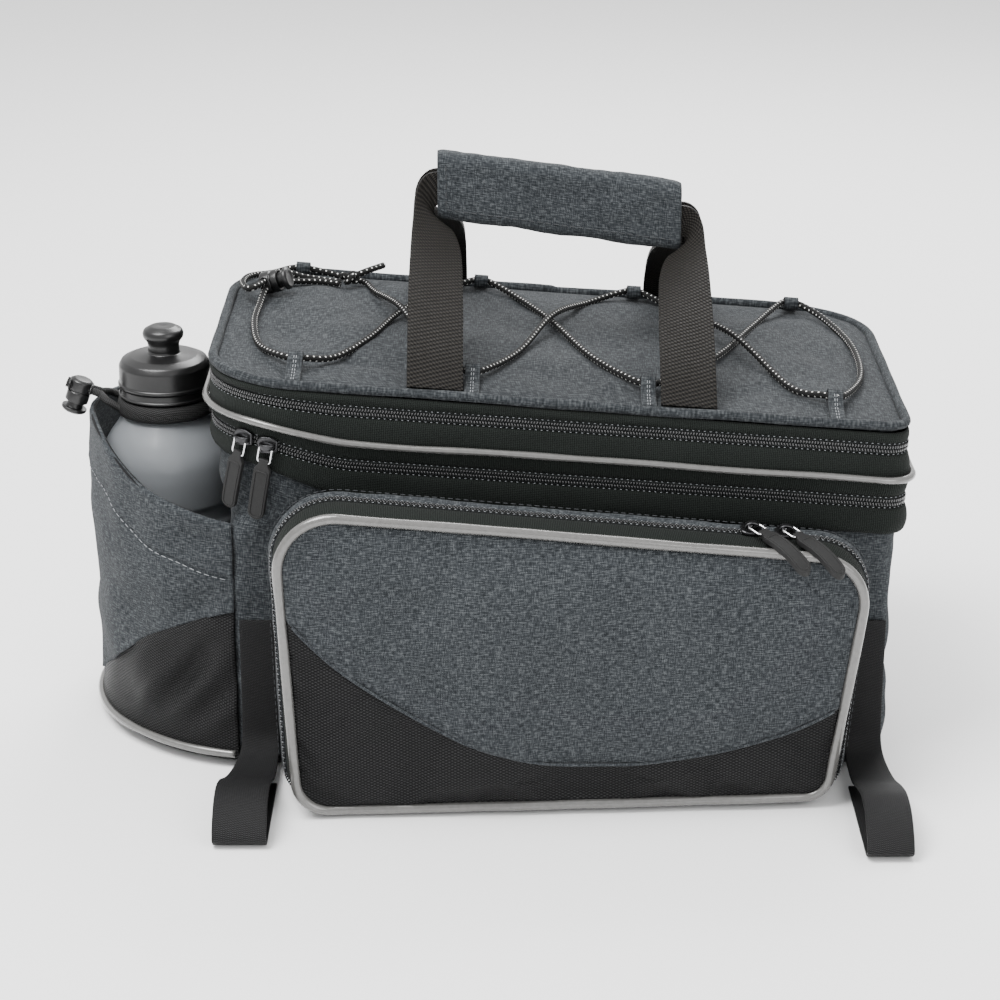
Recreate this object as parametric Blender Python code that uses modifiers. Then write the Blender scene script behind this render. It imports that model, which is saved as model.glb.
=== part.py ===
"""Bicycle trunk bag with a drinking bottle in its side pocket.

Metres, +Z up, -Y is the front.  The origin is the middle of the flat base, on the surface
that the bag stands on.  The bag is a hollow padded box with a wedge-shaped lid, two zips round
its top, a padded front pocket, a bottle pocket at its left end and two webbing handles that
meet in a wrapped grip.
"""
import math

import bmesh
import bpy
from mathutils import Matrix, Vector

# Gap kept between two pieces that touch
CLEAR = 0.0003

# Lid: its rim climbs towards the left end
LID_LEFT = -0.179
LID_RIGHT = 0.175
LID_HALF_DEPTH = 0.103
LID_HEIGHT = 0.201
LID_SLOPE = -0.075
LID_FRONT_LEFT_RADIUS = 0.045
LID_FRONT_RIGHT_RADIUS = 0.014
LID_BACK_RADIUS = 0.048
LID_DOME = 0.004
LID_WALL = 0.0025
LID_PIPE_RADIUS = 0.0024

# Bands and zips, as drops below the rim
ZIP_WIDTH = 0.006
ZIP_THICK = 0.0024
ZIP_OUTSET = -0.0002
UPPER_ZIP_DROP = 0.0115
BAND_PIPE_DROP = 0.027
LOWER_ZIP_DROP = 0.040
BAND_BOTTOM_DROP = 0.057
BAND_WALL = 0.0028
BAND_SWELL = 0.0008
BAND_PIPE_RADIUS = 0.0024
PINCH_START = -0.105
PINCH_LENGTH = 0.055
PINCH_SHARE = 0.22

# Body under the bands
BODY_LEFT = -0.168
BODY_RIGHT = 0.168
BODY_HALF_DEPTH = 0.097
BODY_FRONT_RADIUS = 0.006
BODY_BACK_RADIUS = 0.030
BODY_WALL = 0.0028
BODY_OVERLAP = 0.011
BASE_THICK = 0.003

# Front pocket: corners of its outlines are (x, z, radius)
POCKET_BACK_Y = -0.094
POCKET_FRONT_Y = -0.1513
POCKET_FRONT_TURN = 0.045
POCKET_WALL = 0.0018
POCKET_CROWN = 0.009
POCKET_PIPE_RADIUS = 0.0026
POCKET_ZIP_WIDTH = 0.0052
POCKET_BACK_CORNERS = ((-0.143, 0.0008, 0.012), (0.142, 0.0008, 0.012),
                       (0.149, 0.124, 0.024), (-0.146, 0.146, 0.028))
POCKET_MIDDLE_CORNERS = ((-0.142, 0.0008, 0.016), (0.144, 0.0008, 0.014),
                         (0.156, 0.138, 0.028), (-0.147, 0.168, 0.034))
POCKET_FRONT_CORNERS = ((-0.1325, 0.0034, 0.017), (0.1345, 0.0055, 0.013),
                        (0.1525, 0.1335, 0.026), (-0.1415, 0.1640, 0.028))
POCKET_MIDDLE_SHARE = 0.55
POCKET_ZIP_SHARE = 0.66

# Bottle and its pocket, round one upright axis near the left end of the bag
HOLDER_CENTRE_X = -0.151
HOLDER_RADIUS = 0.099
HOLDER_WALL = 0.0018
HOLDER_MOUTH = 0.168
HOLDER_BINDING_RADIUS = 0.0017
HOLDER_PIPE_RADIUS = 0.0022
HOLDER_PIPE_HEIGHT = 0.0075
BOTTLE_X = -0.2100
BOTTLE_RADIUS = 0.0365
BOTTLE_NECK_RADIUS = 0.0215
BOTTLE_WALL = 0.0014
BOTTLE_FOOT = 0.0030
BOTTLE_NECK_TOP = 0.186
CAP_RADIUS = 0.025
CAP_BOTTOM = 0.1735
CAP_SHOULDER = 0.189
CAP_TOP = 0.1965
SPOUT_RADIUS = 0.005
SPOUT_TOP = 0.2045
NOZZLE_RADIUS = 0.011
NOZZLE_TOP = 0.211

# Handles
WEBBING_WIDTH = 0.028
WEBBING_THICK = 0.0018
HANDLE_FOOT_DEPTH = 0.0975
GRIP_LENGTH = 0.127
GRIP_HEIGHT = 0.036
GRIP_THICK = 0.0135
GRIP_WALL = 0.0016
GRIP_CENTRE = 0.2795
GRIP_SLOPE = -0.137

# Cord of the lid, its tabs and its lock
CORD_RADIUS = 0.00175
CORD_SPACING = 0.0240
TAB_WIDTH = 0.0076
TAB_THICK = 0.0010
TAB_RISE = 0.0062
TAB_FRONT_LENGTH = 0.022
TAB_BACK_LENGTH = 0.011
TAB_FRONT_X = (-0.1345, -0.0453, 0.0433, 0.138)
TAB_BACK_X = (-0.1415, -0.0420, 0.0435, 0.132)
KNOT_RADIUS = 0.0048
LOCK_RADIUS = 0.0062
LOCK_LENGTH = 0.011
LOCK_TRAVEL = 0.003

# Elastic of the bottle pocket
HOLDER_CORD_RADIUS = 0.0020
HOLDER_RING_HEIGHT = 0.1672

# Zip pulls
PULL_LENGTH = 0.0315
PULL_WIDTH = 0.0085
PULL_THICK = 0.0030
PULL_NECK_WIDTH = 0.0042
WIRE_RADIUS = 0.0007
WIRE_WIDTH = 0.0068
WIRE_LENGTH = 0.0085
SLIDER_LENGTH = 0.0095
SLIDER_WIDTH = 0.0085
SLIDER_THICK = 0.0020
ARCH_RADIUS = 0.0026
ARCH_WIDTH = 0.0030

LOWER_SLIDER_X = (-0.1585, -0.1465)
LOWER_PULL_LEAN = (15.5, 11.0)
POCKET_SLIDER_X = (0.0935, 0.1105)
POCKET_PULL_HEADING = 41.0
POCKET_PULL_DIP = 14.0

# Side straps that run to the floor and forward in a loop
STRAP_WIDTH = 0.0190
STRAP_THICK = 0.0016
STRAP_TOP = 0.083
STRAP_LEFT_X = -0.1555
STRAP_RIGHT_X = 0.1578
STRAP_LEFT_REACH = 0.093
STRAP_RIGHT_REACH = 0.106
STRAP_HUMP = 0.0200

# Points of a rounded outline: steps in each corner's arc and points inside each straight run
ARC_STEPS = 4
RUN_STEPS = 2
PLAN_CORNER_POINTS = ARC_STEPS + 1 + RUN_STEPS
POCKET_ARC_STEPS = 4
POCKET_CORNER_POINTS = POCKET_ARC_STEPS + 1 + RUN_STEPS
HINGE_GAP_SHARE = 0.008

# Colour, roughness and metallic value of each material
MATERIALS = {
    "heather_fabric": ((0.085, 0.098, 0.115), 0.90, 0.0),
    "ribbed_band": ((0.016, 0.020, 0.018), 0.85, 0.0),
    "ballistic_fabric": ((0.010, 0.010, 0.011), 0.60, 0.0),
    "webbing": ((0.008, 0.008, 0.008), 0.75, 0.0),
    "silver_piping": ((0.420, 0.430, 0.430), 0.32, 0.0),
    "zip_coil": ((0.020, 0.020, 0.020), 0.40, 0.0),
    "slider_metal": ((0.060, 0.060, 0.062), 0.35, 1.0),
    "pull_wire": ((0.450, 0.450, 0.460), 0.25, 1.0),
    "pull_rubber": ((0.035, 0.035, 0.036), 0.60, 0.0),
    "cord": ((0.020, 0.020, 0.021), 0.70, 0.0),
    "black_plastic": ((0.012, 0.012, 0.012), 0.35, 0.0),
    "bottle_plastic": ((0.300, 0.320, 0.340), 0.35, 0.0),
}

# Body walls: share of the height, share of the way out to the band's inner line, extra outset
BODY_ROWS = (
    (0.00, 0.00, -0.0030),
    (0.04, 0.00, 0.0000),
    (0.58, 0.00, 0.0000),
    (0.74, 0.15, 0.0010),
    (0.86, 1.00, 0.0000),
    (1.00, 1.00, 0.0000),
)

# Lid panel: share of the way in from the edge to the middle
LID_PANEL_SHARES = (0.0, 0.08, 0.36, 0.78)

# Side strap below its top: share of the reach forward, height as a share of the loop's hump
STRAP_ROWS = (
    (0.00, 2.600),
    (0.00, 1.700),
    (0.01, 0.950),
    (0.06, 0.580),
    (0.18, 0.450),
    (0.36, 0.500),
    (0.54, 0.800),
    (0.70, 1.000),
    (0.85, 0.920),
    (0.96, 0.550),
    (1.00, 0.220),
    (0.96, 0.055),
    (0.85, 0.047),
    (0.60, 0.047),
    (0.25, 0.047),
)

# Bottle pocket: share of its half depth, height of the mouth and of the black part as shares of
# the mouth's highest point
HOLDER_ROWS = (
    (0.00, 1.000, 0.095),
    (0.20, 1.000, 0.130),
    (0.45, 0.976, 0.215),
    (0.61, 0.929, 0.295),
    (0.76, 0.875, 0.380),
    (0.91, 0.839, 0.455),
    (1.00, 0.800, 0.530),
)

# One leg of a handle strap: outward places as shares of the webbing's width from the grip's end,
# heights as shares of the climb from the foot to the grip's middle, and depth as a share of the
# foot's depth
LEG_ROWS = (
    # outer, outer_rise, inner, inner_rise, depth
    (0.500, 0.000, -0.500, 0.000, 1.000),
    (0.500, 0.220, -0.500, 0.220, 0.840),
    (0.500, 0.460, -0.490, 0.460, 0.580),
    (0.480, 0.680, -0.440, 0.640, 0.300),
    (0.440, 0.830, -0.260, 0.735, 0.120),
    (0.400, 0.950, 0.060, 0.760, 0.030),
    (0.290, 1.040, 0.070, 0.800, 0.000),
    (0.100, 1.085, 0.050, 0.865, 0.000),
    (-0.150, 1.085, -0.150, 0.870, 0.000),
)

# Seam across the pocket's front, from its left edge to its right edge
SEAM_ROWS = (
    # x, z
    (-0.139, 0.112),
    (-0.127, 0.096),
    (-0.105, 0.077),
    (-0.078, 0.059),
    (-0.045, 0.039),
    (-0.011, 0.029),
    (0.040, 0.028),
    (0.080, 0.034),
    (0.117, 0.044),
    (0.145, 0.058),
)

# Route of the lid's cord: x, y and how far it is lifted over a strand that it crosses
CORD_LEAD_IN = (
    (-0.1195, 0.0690, 0.0), (-0.1300, 0.0720, 0.0), (-0.1430, 0.0660, 0.0010),
)
CORD_LEAD_OUT = (
    (-0.1480, 0.0690, 0.0045), (-0.1400, 0.0725, 0.0020), (-0.1300, 0.0760, 0.0), (-0.1195, 0.0730, 0.0),
)
CORD_AFTER_LOCK = (
    (-0.1600, 0.0200, 0.0), (-0.1600, -0.0150, 0.0), (-0.1540, -0.0520, 0.0),
)
CORD_LEGS = {
    "front_1_to_back_2": ((-0.1150, -0.0650, 0.0), (-0.0990, -0.0320, 0.0), (-0.0855, 0.0150, 0.0),
                          (-0.0680, 0.0600, 0.0)),
    "back_2_to_front_3": ((-0.0210, 0.0640, 0.0), (-0.0030, 0.0190, 0.0), (0.0165, -0.0380, 0.0)),
    "front_3_to_back_4": ((0.0640, -0.0560, 0.0), (0.0860, -0.0150, 0.0), (0.1060, 0.0380, 0.0)),
    "back_4_to_front_4": ((0.1500, 0.0690, 0.0), (0.1590, 0.0200, 0.0), (0.1570, -0.0330, 0.0)),
    "front_4_to_back_3": ((0.1170, -0.0600, 0.0), (0.0930, 0.0040, 0.0048), (0.0680, 0.0600, 0.0)),
    "back_3_to_front_2": ((0.0170, 0.0640, 0.0), (-0.0030, 0.0150, 0.0048), (-0.0215, -0.0380, 0.0)),
    "front_2_to_back_1": ((-0.0660, -0.0480, 0.0), (-0.0830, 0.0080, 0.0048), (-0.0990, 0.0550, 0.0),
                          (-0.1060, 0.0760, 0.0), (-0.1190, 0.0865, 0.0)),
    "round_the_lock": ((-0.1580, 0.0820, 0.0010), (-0.1690, 0.0660, 0.0030), (-0.1710, 0.0440, 0.0050),
                       (-0.1660, 0.0280, 0.0065)),
}

model = bpy.data.collections.new("bicycle_trunk_bag")
cutters = bpy.data.collections.new("cutters")


def clear_scene():
    """Remove every object and set up the two collections."""
    for thing in list(bpy.data.objects):
        bpy.data.objects.remove(thing)
    bpy.context.scene.collection.children.link(model)
    bpy.context.scene.collection.children.link(cutters)


def material(name):
    """The named material, made on first use."""
    found = bpy.data.materials.get(name)
    if found:
        return found
    colour, roughness, metallic = MATERIALS[name]
    found = bpy.data.materials.new(name)
    found.use_nodes = True
    shader = found.node_tree.nodes["Principled BSDF"]
    shader.inputs["Base Color"].default_value = (*colour, 1.0)
    shader.inputs["Roughness"].default_value = roughness
    shader.inputs["Metallic"].default_value = metallic
    found.diffuse_color = (*colour, 1.0)
    return found


def place(thing, finish, collection=model):
    """Put an object in its collection with its material."""
    collection.objects.link(thing)
    if finish:
        thing.data.materials.append(material(finish))
    if collection is cutters:
        thing.hide_render = True
        thing.display_type = "WIRE"
    return thing


def mesh_object(name, bm, finish, collection=model, smooth=True):
    """An object from a bmesh, with its normals made consistent by the caller."""
    mesh = bpy.data.meshes.new(name)
    bm.to_mesh(mesh)
    bm.free()
    if smooth:
        mesh.shade_smooth()
        mesh.set_sharp_from_angle(angle=math.radians(38))
    return place(bpy.data.objects.new(name, mesh), finish, collection)


def modify(thing, kind, **settings):
    """Add one modifier and set its values."""
    modifier = thing.modifiers.new(kind.title(), kind)
    for key, value in settings.items():
        setattr(modifier, key, value)
    return modifier


def thicken(thing, wall, offset=-1.0):
    """Give an open sheet its wall, inwards by default."""
    return modify(thing, "SOLIDIFY", thickness=wall, offset=offset, use_even_offset=True)


def cut(thing, cutter):
    """Cut one object with another."""
    return modify(thing, "BOOLEAN", operation="DIFFERENCE", object=cutter, solver="EXACT")


def sheet(name, rows, finish, closed=True, cap_first=False, cap_last=False, collection=model):
    """A sheet through rows of points; each row has as many points as the others."""
    bm = bmesh.new()
    grid = [[bm.verts.new(point) for point in row] for row in rows]
    count = len(rows[0])
    spans = count if closed else count - 1
    for lower, upper in zip(grid, grid[1:]):
        for index in range(spans):
            after = (index + 1) % count
            bm.faces.new((lower[index], lower[after], upper[after], upper[index]))
    if cap_first:
        bm.faces.new(list(reversed(grid[0])))
    if cap_last:
        bm.faces.new(grid[-1])
    return mesh_object(name, bm, finish, collection)


def tube(name, points, radius, finish, cyclic=False, resolution=1):
    """A round cord or piping along a list of points."""
    curve = bpy.data.curves.new(name, "CURVE")
    curve.dimensions = "3D"
    curve.bevel_depth = radius
    curve.bevel_resolution = resolution
    curve.use_fill_caps = True
    spline = curve.splines.new("POLY")
    spline.points.add(len(points) - 1)
    for target, point in zip(spline.points, points):
        target.co = (*point, 1.0)
    spline.use_cyclic_u = cyclic
    spline.use_smooth = True
    return place(bpy.data.objects.new(name, curve), finish)


def flat_outline(name, outlines, thickness, finish, collection=model):
    """A flat plate from closed outlines in its own XY plane; inner outlines are holes."""
    curve = bpy.data.curves.new(name, "CURVE")
    curve.dimensions = "2D"
    curve.fill_mode = "BOTH"
    curve.extrude = thickness / 2
    for outline in outlines:
        spline = curve.splines.new("POLY")
        spline.points.add(len(outline) - 1)
        for target, point in zip(spline.points, outline):
            target.co = (point[0], point[1], 0.0, 1.0)
        spline.use_cyclic_u = True
    return place(bpy.data.objects.new(name, curve), finish, collection)


def as_mesh(thing):
    """Turn a curve object into a welded mesh object of the same name and place."""
    name = thing.name
    graph = bpy.context.evaluated_depsgraph_get()
    mesh = bpy.data.meshes.new_from_object(thing.evaluated_get(graph))
    bm = bmesh.new()
    bm.from_mesh(mesh)
    bmesh.ops.remove_doubles(bm, verts=bm.verts, dist=0.00001)
    bm.to_mesh(mesh)
    bm.free()
    matrix = thing.matrix_world.copy()
    collection = thing.users_collection[0]
    bpy.data.objects.remove(thing)
    made = bpy.data.objects.new(name, mesh)
    made.matrix_world = matrix
    return place(made, None, collection)


def cylinder(name, radius, bottom, top, finish, collection=model, sides=16):
    """An upright cylinder between two heights of its own frame."""
    bm = bmesh.new()
    bmesh.ops.create_cone(bm, cap_ends=True, segments=sides, radius1=radius, radius2=radius,
                          depth=top - bottom, matrix=Matrix.Translation((0, 0, (top + bottom) / 2)))
    return mesh_object(name, bm, finish, collection)


def block(name, size, centre, finish, collection=model):
    """A box of a given size round a centre in its own frame."""
    bm = bmesh.new()
    scale = Matrix.Diagonal((*size, 1.0))
    bmesh.ops.create_cube(bm, size=1.0, matrix=Matrix.Translation(centre) @ scale)
    return mesh_object(name, bm, finish, collection, smooth=False)


def turned(name, profile, finish, sides=18):
    """A solid turned round Z; the profile (radius, height) runs from its top down the outside."""
    bm = bmesh.new()
    points = [bm.verts.new((radius, 0.0, height)) for radius, height in profile]
    for first, second in zip(points, points[1:]):
        bm.edges.new((first, second))
    thing = mesh_object(name, bm, finish, smooth=False)
    modify(thing, "SCREW", steps=sides, render_steps=sides, use_merge_vertices=True,
           merge_threshold=0.00005)
    return thing


def axes(origin, x_axis, y_axis, z_axis):
    """A placing matrix from an origin and three directions."""
    columns = [Vector(axis).normalized() for axis in (x_axis, y_axis, z_axis)]
    turn = Matrix(columns).transposed().to_4x4()
    return Matrix.Translation(origin) @ turn


def filleted(corners, arc_steps, run_steps):
    """Points round a convex outline with rounded corners (x, y, radius), anticlockwise."""
    arcs = []
    for index, corner in enumerate(corners):
        here = Vector(corner[:2])
        to_before = (Vector(corners[index - 1][:2]) - here).normalized()
        to_after = (Vector(corners[(index + 1) % len(corners)][:2]) - here).normalized()
        half = to_before.angle(to_after) / 2
        centre = here + (to_before + to_after).normalized() * corner[2] / math.sin(half)
        spoke = here + to_before * corner[2] / math.tan(half) - centre
        turn = math.pi - 2 * half
        arcs.append([centre + Matrix.Rotation(turn * step / arc_steps, 2) @ spoke
                     for step in range(arc_steps + 1)])
    points = []
    for index, arc in enumerate(arcs):
        following = arcs[(index + 1) % len(arcs)][0]
        points += arc
        points += [arc[-1].lerp(following, step / (run_steps + 1)) for step in range(1, run_steps + 1)]
    return points


def table_value(rows, key, column):
    """Straight-line reading of a table whose first column rises."""
    if key <= rows[0][0]:
        return rows[0][column]
    for low, high in zip(rows, rows[1:]):
        if key <= high[0]:
            share = (key - low[0]) / (high[0] - low[0])
            return low[column] + (high[column] - low[column]) * share
    return rows[-1][column]


def smooth_path(route, spacing):
    """A smooth curve through the route's points, read about every spacing."""
    points = [Vector(point) for point in route]
    ends = [points[0] * 2 - points[1]] + points + [points[-1] * 2 - points[-2]]
    path = []
    for before, here, there, after in zip(ends, ends[1:], ends[2:], ends[3:]):
        steps = max(1, round((there - here).length / spacing))
        for step in range(steps):
            t = step / steps
            path.append(0.5 * (2 * here + (there - before) * t
                               + (2 * before - 5 * here + 4 * there - after) * t ** 2
                               + (3 * here - before - 3 * there + after) * t ** 3))
    path.append(points[-1])
    return path


# Lid and bands

def rim(x):
    """Height of the lid's rim."""
    return LID_HEIGHT + LID_SLOPE * x


def pinch(x):
    """How far the bands draw together towards the left end."""
    share = min(1.0, max(0.0, (PINCH_START - x) / PINCH_LENGTH))
    return 1.0 - PINCH_SHARE * share * share * (3 - 2 * share)


def lid_plan(outset):
    """Plan of the lid and bands, moved outwards by outset."""
    left = LID_LEFT - outset
    right = LID_RIGHT + outset
    depth = LID_HALF_DEPTH + outset
    return filleted(((left, -depth, LID_FRONT_LEFT_RADIUS + outset),
                     (right, -depth, LID_FRONT_RIGHT_RADIUS + outset),
                     (right, depth, LID_BACK_RADIUS + outset),
                     (left, depth, LID_BACK_RADIUS + outset)), ARC_STEPS, RUN_STEPS)


def band_row(drop, outset, shift=0.0):
    """One row of points round the bands; shift moves it up after the pinch."""
    return [Vector((x, y, rim(x) - drop * pinch(x) + shift)) for x, y in lid_plan(outset)]


def lid_top(x, y):
    """Height of the lid's slightly domed upper side."""
    middle = (LID_LEFT + LID_RIGHT) / 2
    along = min(1.0, abs(x - middle) / (LID_RIGHT - middle))
    across = min(1.0, abs(y) / LID_HALF_DEPTH)
    return rim(x) + LID_DOME * (1 - along ** 4) * (1 - across ** 2)


def front_of_lid(x, outset):
    """Depth and outward direction of the bands' front at x, also round the left corner."""
    corner = LID_LEFT + LID_FRONT_LEFT_RADIUS
    if x >= corner:
        return -LID_HALF_DEPTH - outset, Vector((0, -1, 0))
    middle_y = -LID_HALF_DEPTH + LID_FRONT_LEFT_RADIUS
    across = (x - corner) / (LID_FRONT_LEFT_RADIUS + outset)
    direction = Vector((across, -math.sqrt(1 - across * across), 0))
    return middle_y + direction.y * (LID_FRONT_LEFT_RADIUS + outset), direction


def make_bands():
    """The three woven bands, the two zips between them and the silver piping."""
    half_zip = ZIP_WIDTH / 2
    upper = UPPER_ZIP_DROP
    lower = LOWER_ZIP_DROP
    lid_band = sheet("lid_band", [band_row(upper - half_zip, 0, CLEAR),
                                  band_row(0, 0, -LID_PIPE_RADIUS - CLEAR)], "ribbed_band")
    middle_band = sheet("middle_band", [band_row(lower - half_zip, 0, 2 * CLEAR),
                                        band_row(BAND_PIPE_DROP, BAND_SWELL),
                                        band_row(upper + half_zip, 0, -2 * CLEAR)], "ribbed_band")
    lower_band = sheet("lower_band", [band_row(BAND_BOTTOM_DROP, 0),
                                      band_row(lower + half_zip, 0, -CLEAR)], "ribbed_band")
    for band in (lid_band, middle_band, lower_band):
        thicken(band, BAND_WALL)
    chain = sheet("lower_zip_chain", [band_row(lower + half_zip, ZIP_OUTSET),
                                      band_row(lower - half_zip, ZIP_OUTSET)], "zip_coil")
    thicken(chain, ZIP_THICK)
    rows = [band_row(upper + half_zip, ZIP_OUTSET), band_row(upper - half_zip, ZIP_OUTSET)]
    last = PLAN_CORNER_POINTS * 2 + ARC_STEPS
    first = last + RUN_STEPS + 1
    ends = [[row[last].lerp(row[last + 1], HINGE_GAP_SHARE), row[first].lerp(row[first - 1], HINGE_GAP_SHARE)]
            for row in rows]
    chain = sheet("upper_zip_chain", [row[first:] + row[:last + 1] for row in rows], "zip_coil",
                  closed=False)
    thicken(chain, ZIP_THICK)
    strip = sheet("lid_hinge_strip", [[end[0]] + row[last + 1:first] + [end[1]]
                                      for row, end in zip(rows, ends)], "ribbed_band", closed=False)
    thicken(strip, BAND_WALL)
    tube("band_piping", band_row(BAND_PIPE_DROP, BAND_SWELL + BAND_PIPE_RADIUS + CLEAR),
         BAND_PIPE_RADIUS, "silver_piping", cyclic=True)


def make_lid():
    """The domed top and the raised seam round it."""
    tube("lid_edge_piping", band_row(0, -LID_PIPE_RADIUS + 0.0008), LID_PIPE_RADIUS,
         "heather_fabric", cyclic=True)
    edge = lid_plan(0.0008 - 2 * LID_PIPE_RADIUS - CLEAR)
    middle = Vector(((LID_LEFT + LID_RIGHT) / 2, 0))
    rows = []
    for share in LID_PANEL_SHARES:
        row = [point.lerp(middle, share) for point in edge]
        rows.append([Vector((x, y, lid_top(x, y))) for x, y in row])
    panel = sheet("lid_panel", rows, "heather_fabric", cap_last=True)
    thicken(panel, LID_WALL)


# Body

def body_plan(blend, outset):
    """Plan of the body; blend leads from its own corners to the inside of the lower band."""
    left = BODY_LEFT - outset
    right = BODY_RIGHT + outset
    depth = BODY_HALF_DEPTH + outset
    own = filleted(((left, -depth, BODY_FRONT_RADIUS), (right, -depth, BODY_FRONT_RADIUS),
                    (right, depth, BODY_BACK_RADIUS), (left, depth, BODY_BACK_RADIUS)),
                   ARC_STEPS, RUN_STEPS)
    band = lid_plan(-BAND_WALL - CLEAR + outset)
    return [first.lerp(second, blend) for first, second in zip(own, band)]


def body_rows(extra=0.0, lift=0.0):
    """Rows of the body's wall, moved outwards by extra and kept clear of the base by lift."""
    rows = []
    for share, blend, outset in BODY_ROWS:
        row = []
        for x, y in body_plan(blend, outset + extra):
            top = rim(x) - (BAND_BOTTOM_DROP - BODY_OVERLAP) * pinch(x)
            row.append(Vector((x, y, lift + (top - lift) * share)))
        rows.append(row)
    return rows


def make_body():
    """The base, the padded wall on it and the closed form that cuts what is sewn to it."""
    plan = body_plan(0.0, BODY_ROWS[0][2])
    base = flat_outline("base_panel", [plan], BASE_THICK, "ballistic_fabric")
    base.location.z = BASE_THICK / 2
    shell = sheet("body_shell", body_rows(lift=BASE_THICK + CLEAR), "heather_fabric")
    thicken(shell, BODY_WALL)
    rows = body_rows(extra=CLEAR)
    below = [Vector((point.x, point.y, -0.01)) for point in rows[0]]
    return sheet("body_clearance", [below] + rows, None, cap_first=True, cap_last=True,
                 collection=cutters)


# Front pocket

def pocket_outline(share):
    """Outline (x, z) of the pocket at a share of the way from the bag to its front edge."""
    outlines = [filleted(corners, POCKET_ARC_STEPS, RUN_STEPS) for corners in
                (POCKET_BACK_CORNERS, POCKET_MIDDLE_CORNERS, POCKET_FRONT_CORNERS)]
    if share <= POCKET_MIDDLE_SHARE:
        low, high, part = outlines[0], outlines[1], share / POCKET_MIDDLE_SHARE
    else:
        low, high = outlines[1], outlines[2]
        part = (share - POCKET_MIDDLE_SHARE) / (1 - POCKET_MIDDLE_SHARE)
    return [first.lerp(second, part) for first, second in zip(low, high)]


def pocket_front(x):
    """Depth of the pocket's front edge at x."""
    return POCKET_FRONT_Y + POCKET_FRONT_TURN * x


def pocket_row(share):
    """One row of points round the pocket's side."""
    return [Vector((x, POCKET_BACK_Y + (pocket_front(x) - POCKET_BACK_Y) * share, z))
            for x, z in pocket_outline(share)]


def resample(points, count):
    """A polyline read again at evenly spaced places."""
    lengths = [0.0]
    for first, second in zip(points, points[1:]):
        lengths.append(lengths[-1] + (second - first).length)
    table = [(length, point.x, point.y) for length, point in zip(lengths, points)]
    return [Vector((table_value(table, lengths[-1] * step / count, 1),
                    table_value(table, lengths[-1] * step / count, 2))) for step in range(count + 1)]


def shrink(points, amount):
    """A closed outline moved inwards by a fixed amount."""
    moved = []
    for index, point in enumerate(points):
        along = (points[(index + 1) % len(points)] - points[index - 1]).normalized()
        moved.append(point + Vector((-along.y, along.x)) * amount)
    return moved


def panel_sheet(name, lower_share, upper_share, finish, columns=12, rows=4):
    """One part of the pocket's front, between two shares of its height given along its width."""
    edge = shrink(pocket_outline(1.0), POCKET_PIPE_RADIUS + CLEAR)
    middles = [corner * POCKET_CORNER_POINTS + POCKET_ARC_STEPS // 2 for corner in range(4)]
    turned_edge = edge[middles[0]:] + edge[:middles[0] + 1]
    marks = [middle - middles[0] for middle in middles] + [len(edge)]
    bottom, right, top, left = [turned_edge[first:last + 1] for first, last in zip(marks, marks[1:])]
    bottom = resample(bottom, columns)
    top = resample(list(reversed(top)), columns)
    fine = 40
    right = resample(right, fine)
    left = resample(list(reversed(left)), fine)

    def spot(along, up):
        """Place (x, z) of a panel point given by its shares along and up."""
        low = bottom[along]
        high = top[along]
        share = along / columns
        place_up = up * fine
        cell = min(fine - 1, int(place_up))
        left_point = left[cell].lerp(left[cell + 1], place_up - cell)
        right_point = right[cell].lerp(right[cell + 1], place_up - cell)
        corners = (bottom[0].lerp(bottom[-1], share)).lerp(top[0].lerp(top[-1], share), up)
        return low.lerp(high, up) + left_point.lerp(right_point, share) - corners

    def seam(along, offset):
        """Share of the height at which the panel meets the seam, moved by offset."""
        low, high = 0.0, 1.0
        for _ in range(24):
            middle = (low + high) / 2
            point = spot(along, middle)
            if point.y < table_value(SEAM_ROWS, point.x, 1) + offset:
                low = middle
            else:
                high = middle
        return (low + high) / 2

    grid = []
    for row in range(rows + 1):
        line = []
        for along in range(columns + 1):
            start = seam(along, CLEAR) if lower_share else 0.0
            end = 1.0 if upper_share else seam(along, -CLEAR)
            up = start + (end - start) * row / rows
            point = spot(along, up)
            crown = (math.sin(math.pi * along / columns) * math.sin(math.pi * up)) ** 0.45 \
                if 0 < along < columns and 0.001 < up < 0.999 else 0.0
            line.append(Vector((point.x, pocket_front(point.x) - POCKET_CROWN * crown, point.y)))
        grid.append(line)
    panel = sheet(name, grid, finish, closed=False)
    thicken(panel, POCKET_WALL)
    return panel


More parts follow.
